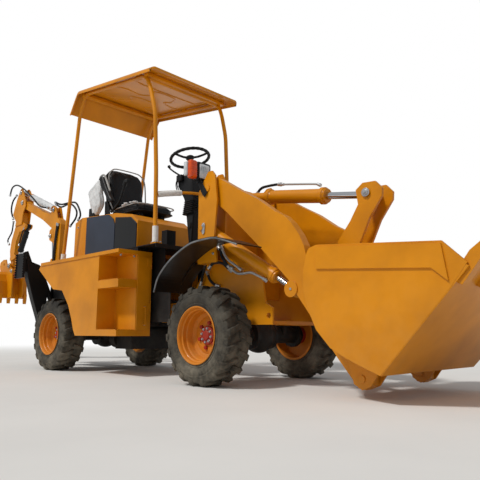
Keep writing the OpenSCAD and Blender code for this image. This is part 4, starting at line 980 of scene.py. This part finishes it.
@dataclass
class Seat:
    """Operator's seat: pan, two upholstered pads with grey piping, a raised armrest and two levers."""

    lean: float = 0.13
    back_line: tuple[Flat, ...] = ((-206, 1812), (-236, 1900), (-246, 2130), (-234, 2240), (-180, 2302), (-100, 2318),
        (110, 2318), (196, 2302), (250, 2240), (262, 2130), (252, 1900), (222, 1812))
    base_line: tuple[Flat, ...] = ((-872, -236), (-400, -262), (-322, -246), (-280, -180), (-270, 0), (-280, 180),
        (-322, 246), (-400, 262), (-872, 236))
    # shreds of film on the cushion
    flecks: tuple[Spot, ...] = ((-560, -262, 1792), (-520, -255, 1806), (-450, -240, 1810), (-380, -225, 1806),
        (-350, -262, 1796))

    def leant(self, mesh: Mesh) -> Mesh:
        """Lean an upright mesh backwards."""
        for v in mesh.vertices:
            v.co.x -= (v.co.z - 1.8) * self.lean
        return mesh

    def pads(self) -> None:
        """Make the two pads and their piping."""
        back = Form()
        back.plate(self.back_line, -934, -880, "yz", 20)
        base = Form()
        base.plate(self.base_line, 1722, 1778, "xy", 20)
        for form, name, cap in ((back, "seat_back_pad", 24.0), (base, "seat_base_pad", 22.0)):
            mesh = puffed(form, name, cap)
            if form is back:
                self.leant(mesh)
            piece = settle(mesh, name, VINYL, "rear_frame", ("operator_seat",))
            soft = piece.modifiers.new("smooth_cover", "SUBSURF")
            soft.levels = soft.render_levels = 1
        trim = Form()
        edge = [(-872, y, z) for y, z in self.back_line]
        trim.sweep(smooth_path([*edge, edge[0]], 5), 8, 8)
        leaning = self.leant(trim.mesh("trim"))
        rim = Form()
        rim.sweep(smooth_path([(x, y, 1782) for x, y in (*self.base_line, self.base_line[0])], 5), 7, 8)
        settle(joined(leaning, rim.mesh("rim")), "seat_piping", PIPING, "rear_frame")

    def shell(self) -> None:
        """Make the back shell, the pan, the runners and the hinge plates."""
        back = Form()
        back.plate(self.back_line, -962, -936, "yz", 8)
        shell = self.leant(back.mesh("shell"))
        pan = Form()
        pan.plate([(x, y * 0.97) for x, y in self.base_line], 1706, 1722, "xy", 5)
        for y in (-170, 120):
            pan.box((-860, y, 1665), (-380, y + 50, 1708), 3)
        for side in (-1, 1):
            pan.plate([(-940, 1700), (-820, 1700), (-850, 1800), (-905, 1900), (-950, 1900)], side * 262 - 5,
                side * 262 + 5, "xz", 2)
        settle(joined(shell, pan.mesh("pan")), "seat_shell", ABS_BLACK, "rear_frame", ("operator_seat",))

    def levers(self) -> None:
        """Make the lever groups: box, boots, rods and knobs, and the raised armrest."""
        form = Form()
        for side in (-1, 1):
            y = side * 300
            form.box((-1180, y - 38, 1700), (-1060, y + 38, 1838), 8, 3)
            for k, x in enumerate((-1150, -1105, -1072)):
                form.lathe([(0, 0), (20, 0), (19, 6), (13, 10), (14, 15), (9, 20), (8, 30), (0, 30)], at(x, y, 1836),
                    Vector((0, 0, 1)), 20)
                form.rod(at(x, y, 1860), at(x - 16, y + 6 * (k - 1), 2030 - 14 * k), 5.5, 12)
                form.ball(at(x - 16, y + 6 * (k - 1), 2042 - 14 * k), 19, 1.25)
        form.sweep(smooth_path([(-470, -272, 2048), (-512, -270, 2052), (-560, -270, 1980), (-640, -270, 1845),
            (-790, -272, 1750)], 6), 15, 12)
        form.sweep(smooth_path([(-462, -272, 2046), (-520, -270, 2056), (-548, -270, 2010)], 6), 24, 12)
        settle(form, "seat_levers", ABS_BLACK, "rear_frame", ("control_levers",))
        arm = Form()
        arm.plate([(-1032, 2170), (-1005, 2200), (-930, 2190), (-800, 1990), (-715, 1870), (-748, 1842), (-800, 1862),
            (-960, 2060)], -322, -272, "xz", 16)
        piece = settle(puffed(arm, "armrest_pad", 5.0, 6.0), "armrest_pad", VINYL, "rear_frame")
        band = Form()
        band.sweep(smooth_path([(-1036, -297, 2168), (-1010, -297, 2206), (-926, -297, 2196), (-795, -297, 1994)], 6),
            12, 10)
        settle(band, "armrest_band", PIPING, "rear_frame")

    def shreds(self) -> None:
        """Make the shreds of film on the cushion's front corner."""
        flecks = Form()
        for k, (x, y, z) in enumerate(self.flecks):
            flecks.ball(at(x, y, z), 22 + 5 * (k % 2), 0.45)
        settle(flecks, "seat_film_flecks", FILM, "rear_frame")

    def build(self) -> None:
        """Make the whole seat."""
        self.pads()
        self.shell()
        self.levers()
        self.shreds()


# side face of the black hood panels, x and z
PANEL = ((-555, 1238), (-555, 1638), (-261, 1598), (-152, 1518), (-152, 1238))
# rows of the film bag from the top: x, z, half width along x, half width along y
BAG_ROWS = ((-1000, 2175, 14, 12), (-1020, 2140, 60, 30), (-1070, 2090, 96, 44), (-1110, 2050, 150, 56),
    (-1100, 1990, 118, 60), (-1080, 1920, 124, 62), (-1060, 1850, 112, 56), (-1075, 1790, 74, 44),
    (-1090, 1745, 40, 30))


def hood_panels() -> None:
    """Lay the black paint of the hood's front side panels."""
    black = Form()
    for low, high in ((-361.4, -360.2), (360.2, 361.4)):
        black.plate(PANEL, low, high, "xz", 0)
    settle(black, "hood_panel_black", FENDER_BLACK, "rear_frame")


def lever_film() -> None:
    """Make the bag of film over the right levers."""
    bag, steps = Form(), 28
    rings = []
    for x, z, wide, deep in BAG_ROWS:
        ring = []
        for a in round_turn(steps):
            fold = noise.noise(Vector((3 * math.cos(a), 3 * math.sin(a), z / 45)))
            crease = 1 + 0.42 * fold + 0.12 * math.sin(5 * a + z / 24)
            ring.append(at(x + wide * crease * math.cos(a), -300 + deep * crease * math.sin(a), z))
        rings.append(ring)
    bag.skin(rings)
    piece = settle(bag, "lever_film_bag", FILM, "rear_frame")
    soft = piece.modifiers.new("soft_folds", "SUBSURF")
    soft.levels = soft.render_levels = 1


# steering, handrail and lamps


def squared(x0: float, x1: float, half: float, z: float, corner: float, steps: int = 5) -> list[Vector]:
    """Return a level ring with rounded corners, drawing millimetres."""
    ring = []
    for cx, cy, start in ((x1 - corner, half - corner, 0), (x0 + corner, half - corner, 90),
        (x0 + corner, corner - half, 180), (x1 - corner, corner - half, 270)):
        for k in range(steps + 1):
            a = math.radians(start + 90 * k / steps)
            ring.append(at(cx + corner * math.cos(a), cy + corner * math.sin(a), z))
    return ring


@dataclass
class Front:
    """What stands before the driver: wheel, bellows, cables, sleeves, and the lamp unit."""

    centre: Spot = (257.0, 0.0, 2209.0)
    tilt: float = 14.0
    wheel_r: float = 200.0
    grips: int = 24
    foam_r: float = 29.0

    def wheel(self) -> None:
        """Make the moulded steering wheel with its finger grips, spokes and cap."""
        form, axis = Form(), Vector((-math.sin(math.radians(self.tilt)), 0, math.cos(math.radians(self.tilt))))
        middle, turn = at(*self.centre), axis.to_track_quat("Z", "Y").to_matrix()
        rings, steps, sides = [], 96, 14
        for a in round_turn(steps):
            r = 16 + 1.2 * math.cos(self.grips * a)
            ring = []
            for b in round_turn(sides):
                reach = self.wheel_r + r * math.cos(b)
                ring.append(middle + turn @ Vector((reach * math.cos(a), reach * math.sin(a), r * math.sin(b))) * MM)
            rings.append(ring)
        form.skin(rings, loop=True)
        form.lathe([(0, -30), (30, -30), (36, -14), (44, -6), (46, 8), (38, 16), (20, 20), (0, 21)], middle, axis, 40)
        for a in round_turn(3):
            out = turn @ Vector((math.cos(a), math.sin(a), 0))
            form.sweep([middle + out * 0.03 - axis * 0.004, middle + out * 0.09 - axis * 0.012,
                middle + out * 0.15 - axis * 0.008, middle + out * 0.194], 12, 12)
        settle(form, "moulded_steering_wheel", ABS_BLACK, "steering_wheel", ("steering_wheel",))

    def column(self) -> None:
        """Make the bellows, the shroud, the cables, the tape and the foam sleeves."""
        form = Form()
        rings = []
        for k in range(15):
            grow = 9 if k % 2 else 0
            lean = (k - 7) * -2.2
            rings.append(squared(289 - grow - lean, 434 + grow - lean, 100 + grow, 1578 + k * 10, 22))
        form.skin(rings)
        settle(form, "column_bellows", ABS_BLACK, "rear_frame")
        shroud = Form()
        shroud.plate([(296, 1716), (424, 1716), (392, 1982), (282, 2046), (168, 1962), (168, 1910), (268, 1764)], -80,
            80, "xz", 14)
        shroud.plate([(368, 1234), (396, 1234), (424, 1580), (314, 1580)], -84, 84, "xz", 10)
        shroud.box((352, -96, 1430), (400, -83, 1490), 4)
        shroud.box((180, -118, 1940), (262, -78, 2010), 10, 3)
        shroud.sweep(smooth_path([(240, -80, 1990), (205, -150, 2030), (150, -170, 2075), (140, -176, 2092)], 6), 9,
            10)
        shroud.ball(at(138, -178, 2100), 17)
        settle(shroud, "column_shroud", ABS_BLACK, "rear_frame")
        wires = Form()
        for k, (y, dz) in enumerate(((-70, 0), (-50, 18), (-84, -20), (40, 6))):
            wires.sweep(smooth_path([(282 - 8 * k, y, 1960), (210 - 12 * k, y - 14, 1990 + dz),
                (168, y - 22, 1930 + dz), (196, y - 12, 1850 + dz), (268, y, 1800 + dz / 2)], 6), 5.5, 8)
        settle(wires, "column_cables", HOSE, "rear_frame")
        tape = Form()
        tape.box((302, -88, 1588), (318, -58, 1682), 2)
        settle(tape, "blue_tape", BLUE_TAPE, "rear_frame")
        foam = Form()
        for line in (((334, -455, 1719), (365, -380, 1734), (400, -290, 1750), (415, -235, 1758)),
            ((354, -482, 1246), (347, -480, 1400)), ((-1467, -480, 1200), (-1455, -480, 1312))):
            foam.sweep(smooth_path(list(line), 5), self.foam_r, 18)
        settle(foam, "foam_sleeves", FOAM, "rear_frame")

    def lamps(self) -> None:
        """Make the lamp, its turn signal and the bracket on the right side of the tower."""
        body = Form()
        body.box((902, -502, 1724), (978, -340, 1900), 24, 4)
        body.plate([(930, 1733), (985, 1733), (1075, 1600), (1045, 1560), (1020, 1580)], -478, -470, "xz", 2)
        body.box((940, -486, 1700), (968, -430, 1732), 4)
        settle(body, "lamp_housing", ABS_BLACK, "front_half", ("work_lamps",))
        lens = Form()
        lens.box((956, -482, 1744), (983, -362, 1880), 12, 4)
        for k in range(6):
            lens.rod(at(983, -470 + k * 19, 1790), at(983, -470 + k * 19, 1868), 4, 10)
        settle(lens, "lamp_lens", CLEAR_LENS, "front_half")
        amber = Form()
        amber.box((926, -588, 1730), (986, -504, 1898), 22, 4)
        for k in range(7):
            amber.box((982, -576, 1752 + k * 19), (989, -516, 1759 + k * 19), 2)
        settle(amber, "turn_signal", AMBER_LENS, "front_half")
        # pale block on the outer side of the turn signal, finished like the clear lens
        white = Form()
        white.box((905, -606, 1752), (948, -580, 1880), 12, 4)
        settle(white, "marker_lamp", CLEAR_LENS, "front_half")

    def build(self) -> None:
        """Make all of it."""
        self.wheel()
        self.column()
        self.lamps()


# pins, cylinders, pipes and hoses


@dataclass
class Hydraulics:
    """Pin ends, gland rings, steel pipes and hoses."""

    pattern: Pattern
    # pin ends, one a side: x, z, distance of the outer face from the middle, radius, body
    pins: tuple[tuple[float, float, float, float, str], ...] = ((1955, 722, 414, 34, "loader_lift"),
        (2540, 123, 418, 30, "front_bucket"), (2094, 834, 120, 26, "loader_lift"), (2016, 535, 102, 25, "rocker"),
        (2400, 1425, 102, 24, "rocker"), (2415, 193, 76, 26, "front_bucket"), (-2390, 650, 82, 26, "swing_post"),
        (-2560, 540, 82, 22, "swing_post"), (-2745, 1745, 56, 22, "boom"), (-3740, 2396, 75, 26, "dipper"),
        (-3820, 2570, 72, 22, "dipper"), (-2700, 2120, 53, 22, "boom"), (-4014, 1420, 100, 25, "rear_bucket"),
        (-3905, 1335, 96, 20, "rear_bucket"))
    # gland rings: base, eye, distance from the base, radius, y, body
    glands: tuple[tuple[Flat, Flat, float, float, float, str],
        ...] = (((993, 1300), (1955, 722), 878, 62, -380, "lift_barrels"),
        ((993, 1300), (1955, 722), 878, 62, 380, "lift_barrels"),
        ((1060, 1640), (2400, 1425), 890, 70, 0, "tilt_barrel"),
        ((1060, 1640), (2400, 1425), 312, 68, 0, "tilt_barrel"),
        ((-2560, 540), (-2745, 1745), 842, 50, 0, "boom_barrel"),
        ((-2700, 2120), (-3820, 2570), 900, 50, 0, "dipper_barrel"),
        ((-3615, 2011), (-3895, 1562), 394, 46, 0, "digger_barrel"),
        ((-3615, 2011), (-3895, 1562), 160, 44, 0, "digger_barrel"))

    def flags(self) -> None:
        """Make the pin ends, a washer and a bolt on each, and the keeper plates of the lift pins."""
        rings: dict[str, Form] = {}
        bolts: dict[str, list] = {}
        for x, z, y, r, body in self.pins:
            form = rings.setdefault(body, Form())
            for side in (-1, 1):
                spot, out = at(x, side * y, z), Vector((0, side, 0))
                form.lathe([(0, -6), (r * 1.35, -6), (r * 1.4, -4), (r * 1.4, 2), (r * 1.3, 4), (r * 0.95, 4),
                    (r * 0.92, 10), (r * 0.8, 12), (0, 12)], spot, out, 32)
                bolts.setdefault(body, []).append((spot + out * 0.012, out))
        for body, form in rings.items():
            settle(form, f"pin_ends_{body}", ZINC, body)
            settle(self.pattern.on_points(bolt_seed(19, 9, 26), bolts[body], ZINC), f"pin_bolts_{body}", ZINC, body)
        plates = Form()
        for side in (-1, 1):
            plates.plate([(1004, 1322), (1016, 1338), (1034, 1338), (1045, 1322), (1040, 1250), (1024, 1234),
                (1008, 1248)], min(side * 462, side * 472), max(side * 462, side * 472), "xz", 3)
            plates.lathe([(0, 0), (13, 0), (13, 8), (9, 11), (0, 11)], at(1024, side * 470, 1314),
                Vector((0, side, 0)), 6)
        settle(plates, "pin_keepers", ZINC, "front_half")

    def rings(self) -> None:
        """Make the gland rings at the cylinders' mouths."""
        made: dict[str, Form] = {}
        for (xa, za), (xb, zb), s, r, y, body in self.glands:
            a, b = at(xa, y, za), at(xb, y, zb)
            made.setdefault(body, Form()).lathe([(r - 16, 0), (r - 3, 0), (r, 3), (r, 32), (r - 2, 35), (r - 7, 36),
                (r - 9, 44), (r - 16, 44)], a + (b - a).normalized() * s * MM, b - a, 48)
        for body, form in made.items():
            settle(form, f"gland_{body}", CHASSIS_BLACK if body == "digger_barrel" else ENAMEL, body)

    def pipes(self) -> None:
        """Make the pipes and hoses, with a crimped fitting on each end."""
        made: dict[tuple[str, str], tuple[Form, Finish]] = {}
        nuts: dict[str, Form] = {}
        for body, radius, finish, points in TUBES:
            form, _ = made.setdefault((body, finish.name), (Form(), finish))
            path = smooth_path(list(points), 6)
            form.sweep(path, radius, 10)
            for end, inner in ((path[0], path[2]), (path[-1], path[-3])):
                direction = (inner - end).normalized()
                nuts.setdefault(body, Form()).lathe([(0, -4), (radius + 6, -4), (radius + 6, 10), (radius + 3, 13),
                    (radius + 3.5, 34), (radius + 1, 36), (0, 36)], end, direction, 16)
        for (body, label), (form, finish) in made.items():
            settle(form, f"{label}_{body}", finish, body)
        for body, form in nuts.items():
            settle(form, f"fittings_{body}", ZINC, body)

    def build(self) -> None:
        """Make all of it."""
        self.flags()
        self.rings()
        self.pipes()


# pipes and hoses: body, radius, finish, points
TUBES = (("lift_barrels", 10, PIPE_SILVER, ((1224, -440, 1110), (1289, -440, 1010), (1380, -442, 950),
    (1466, -440, 896))), ("lift_barrels", 10, PIPE_SILVER, ((1312, -440, 940), (1401, -440, 880), (1470, -440, 868),
    (1561, -440, 870), (1640, -440, 840), (1712, -425, 800))),
    ("front_half", 12, HOSE, ((879, -360, 816), (920, -366, 931), (951, -362, 996), (985, -345, 1040))),
    ("front_half", 12, HOSE, ((965, -360, 928), (1003, -366, 858), (1060, -362, 812), (1101, -345, 795))),
    ("front_half", 12, HOSE, ((1067, -430, 947), (1127, -436, 982), (1233, -440, 973), (1302, -436, 927),
    (1320, -410, 905))), ("front_half", 12, HOSE, ((1172, -430, 1116), (1214, -436, 1079), (1232, -440, 1029),
    (1290, -440, 960), (1358, -430, 915))), ("tilt_barrel", 12, HOSE,
    ((1181, 30, 1650), (1241, 34, 1700), (1322, 34, 1706), (1425, 32, 1700), (1480, 30, 1690))),
    ("tilt_barrel", 9, PIPE_SILVER, ((1480, 30, 1690), (1600, 30, 1668), (1754, 30, 1640), (1863, 30, 1618),
    (1905, 26, 1600))), ("boom", 12, HOSE, ((-2792, -84, 2155), (-3058, -92, 2225), (-3291, -104, 2388),
    (-3636, -108, 2592), (-3900, -108, 2700), (-4080, -108, 2690), (-4150, -108, 2570))),
    ("boom", 12, HOSE, ((-2580, -84, 2198), (-2416, -76, 2145), (-2211, -64, 2135), (-2036, -62, 2106),
    (-1930, -60, 1997), (-1900, -58, 1910), (-1960, -56, 1857))),
    ("boom", 12, HOSE, ((-2560, -84, 2170), (-2400, -80, 2105), (-2210, -50, 2123), (-2060, -36, 2016),
    (-2060, -36, 1910), (-2198, -40, 1812))), ("dipper", 12, HOSE,
    ((-3990, -62, 2560), (-4120, -66, 2480), (-4150, -68, 2337), (-4061, -64, 2180))),
    ("dipper", 11, HOSE, ((-4040, -64, 2142), (-4066, -66, 1980), (-4156, -64, 1905), (-4220, -60, 1851),
    (-4169, -54, 1783))), ("digger_barrel", 9, HOSE, ((-3660, -44, 1990), (-3720, -50, 1900), (-3770, -50, 1800),
    (-3806, -46, 1730))), ("boom", 12, HOSE, ((-2572, -58, 1080), (-2600, -60, 1400), (-2570, -60, 1700),
    (-2540, -58, 1900))), ("boom", 12, HOSE, ((-2534, -60, 1090), (-2566, -62, 1390), (-2540, -62, 1690),
    (-2505, -60, 1890))))


# panels, steps and small fasteners


@dataclass
class Trim:
    """Fender edges, fasteners, step grips, pull handles and the cylinder's film."""

    pattern: Pattern
    fender: tuple[Flat, ...] = ((700, 750), (745, 860), (828, 945), (920, 1010), (1023, 1062), (1120, 1100),
        (1211, 1122), (1413, 1130), (1526, 1108), (1700, 1050))
    # treads: heights, rear and front end, outer and inner edge, pitch and height of the teeth
    tread_z: tuple[float, ...] = (428, 900)
    tread_rear: float = -235
    tread_front: float = 121
    tread_out: float = 718
    tread_in: float = 522
    tooth: int = 14
    # pull handle of a door, x and z
    handle: tuple[Flat, ...] = ((135, 478), (159, 480), (162, 500), (162, 625), (159, 645), (135, 647))
    handle_y: float = 430

    def fenders(self) -> None:
        """Make the fenders' rolled edges, coloured silver-grey as a painted highlight, and the dark inner sheets
        behind the tower.
        """
        edge, inner = Form(), Form()
        for side in (-1, 1):
            edge.sweep(smooth_path([(x, side * 730, z - 6) for x, z in self.fender], 5), 7, 10)
            rings = [[at(x, side * y, z - d) for y, d in ((462, 6), (338, 6), (338, 14), (462, 14))]
                for x, z in self.fender[:4]]
            inner.skin(rings)
        # the edges' silver-grey finish is a painted highlight on the black rims
        settle(edge, "fender_edges", FENDER_EDGE_HIGHLIGHT, "front_half")
        settle(inner, "fender_inner_sheets", FENDER_BLACK, "front_half")

    def fasteners(self) -> None:
        """Set the bolts of the towers, boxes, hood and posts."""
        right, front, up = Vector((0, -1, 0)), Vector((1, 0, 0)), Vector((0, 0, 1))
        groups = (
            # body, direction of the heads, places
            ("front_half", right, [(x, -462, z) for x, z in ((975, 1060), (1150, 1060), (975, 1130), (1045, 1600))]),
            ("front_half", up, [(x, -668, z + 2) for x, z in self.fender[3:9:2]]),
            ("rear_frame", right, [(x, -350, z) for x, z in ((-1380, 1260), (-1380, 1640), (-1230, 1260))]),
            ("rear_frame", up, [(x, -460 - dy, 1197) for x in (-1510, -1430) for dy in (-20, 60)]),
            ("rear_frame", up, [(x, -444 - dy, 1244) for x in (318, 382) for dy in (0, 50)]),
            ("rear_frame", front, [(104, y, 1130) for y in (-690, -540)]))
        rows: dict[str, list] = {}
        for body, out, spots in groups:
            rows.setdefault(body, []).extend((at(*spot), out) for spot in spots)
        for body, places in rows.items():
            settle(self.pattern.on_points(bolt_seed(17, 8, 24), places, ZINC), f"bolts_{body}", ZINC, body)

    def steps(self) -> None:
        """Lay toothed grip strips on the steps and a rubber mat on the floor."""
        grip, mat = Form(), Form()
        count = int((self.tread_front - self.tread_rear) / self.tooth)
        for z in self.tread_z:
            for side in (-1, 1):
                teeth = [(self.tread_rear + 2 + k * self.tooth, z + (1 if k % 2 else 10)) for k in range(count)]
                low, high = sorted((side * (self.tread_out - 4), side * self.tread_out))
                grip.plate([*teeth, (teeth[-1][0], z - 1), (teeth[0][0], z - 1)], low, high, "xz", 0)
                teeth = [(side * (self.tread_in + k * self.tooth), z + (1 if k % 2 else 10)) for k in range(14)]
                grip.plate([*teeth, (teeth[-1][0], z - 1), (teeth[0][0], z - 1)], self.tread_front - 4,
                    self.tread_front, "yz", 0)
        mat.box((-110, -330, 1231), (300, 330, 1238), 2)
        for k in range(20):
            mat.box((-100 + k * 20, -320, 1237), (-92 + k * 20, 320, 1241), 1)
        settle(grip, "step_grips", ENAMEL, "rear_frame")
        settle(mat, "floor_mat", ABS_BLACK, "rear_frame")

    def doors(self) -> None:
        """Make the silver pull handles over the doors' bars."""
        for side, body in ((-1, "door_right"), (1, "door_left")):
            form = Form()
            form.sweep(smooth_path([(x, side * self.handle_y, z) for x, z in self.handle], 5), 6, 12)
            settle(form, f"pull_handle_{body}", ZINC, body)

    def wraps(self) -> None:
        """Wrap the dipper's cylinder in stretch film."""
        form, a, b = Form(), at(-2700, 0, 2120), at(-3820, 0, 2570)
        axis = (b - a).normalized()
        side, up = Vector((0, 1, 0)), axis.cross(Vector((0, 1, 0)))
        rings = []
        rows, steps = 64, 28
        for i in range(rows):
            s = 96 + i * 12.6
            ring = []
            for t in round_turn(steps):
                fold = noise.noise(Vector((s / 26, 2.2 * math.cos(t), 2.2 * math.sin(t))))
                r = 49 + 5 * fold + 1.5 * math.sin(s / 17 + 2 * t)
                ring.append(a + axis * s * MM + (side * math.cos(t) + up * math.sin(t)) * r * MM)
            rings.append(ring)
        form.skin(rings)
        settle(form, "cylinder_film", FILM, "dipper_barrel")

    def build(self) -> None:
        """Make all of it."""
        self.fenders()
        self.fasteners()
        self.steps()
        self.doors()
        self.wraps()


def main() -> None:
    """Build the scene: camera first, then each sub-assembly."""
    logging.basicConfig(level=logging.INFO, format="%(name)s: %(message)s")
    studio = Studio()
    studio.camera()
    studio.light()
    studio.floor()
    pattern = Pattern()
    dress(ENAMEL, "engine_hood", "side_boxes", "canopy_posts", "canopy_roof", "front_frame", "box_door_right",
        "box_door_left", "loader_arms", "loader_rocker", "loader_bucket_link", "loader_bucket", "lift_barrels",
        "tilt_barrel", "swing_post", "backhoe_boom", "dipper_arm", "digging_bucket", "bucket_rocker",
        "bucket_push_link", "boom_barrel", "dipper_barrel")
    dress(CHASSIS_BLACK, "rear_chassis", "rear_axle", "front_axle", "engine_block", "floor_plate",
        "stabiliser_leg_right", "stabiliser_leg_left", "digger_barrel", "work_lamps", "stabiliser_barrel_right",
        "stabiliser_barrel_left")
    dress(BLUE_GREY, "hood_side_panels")
    dress(FENDER_BLACK, "front_fenders")
    dress(ABS_BLACK, "operator_seat", "control_levers", "steering_console", "steering_wheel")
    dress(CHROME, "lift_rods", "tilt_rod", "boom_rod", "dipper_rod", "digger_rod", "stabiliser_rod_right",
        "stabiliser_rod_left")
    Wheels(pattern).build()
    Canopy().build()
    Seat().build()
    hood_panels()
    lever_film()
    Front().build()
    Hydraulics(pattern).build()
    Trim(pattern).build()


if __name__ == "__main__":
    main()
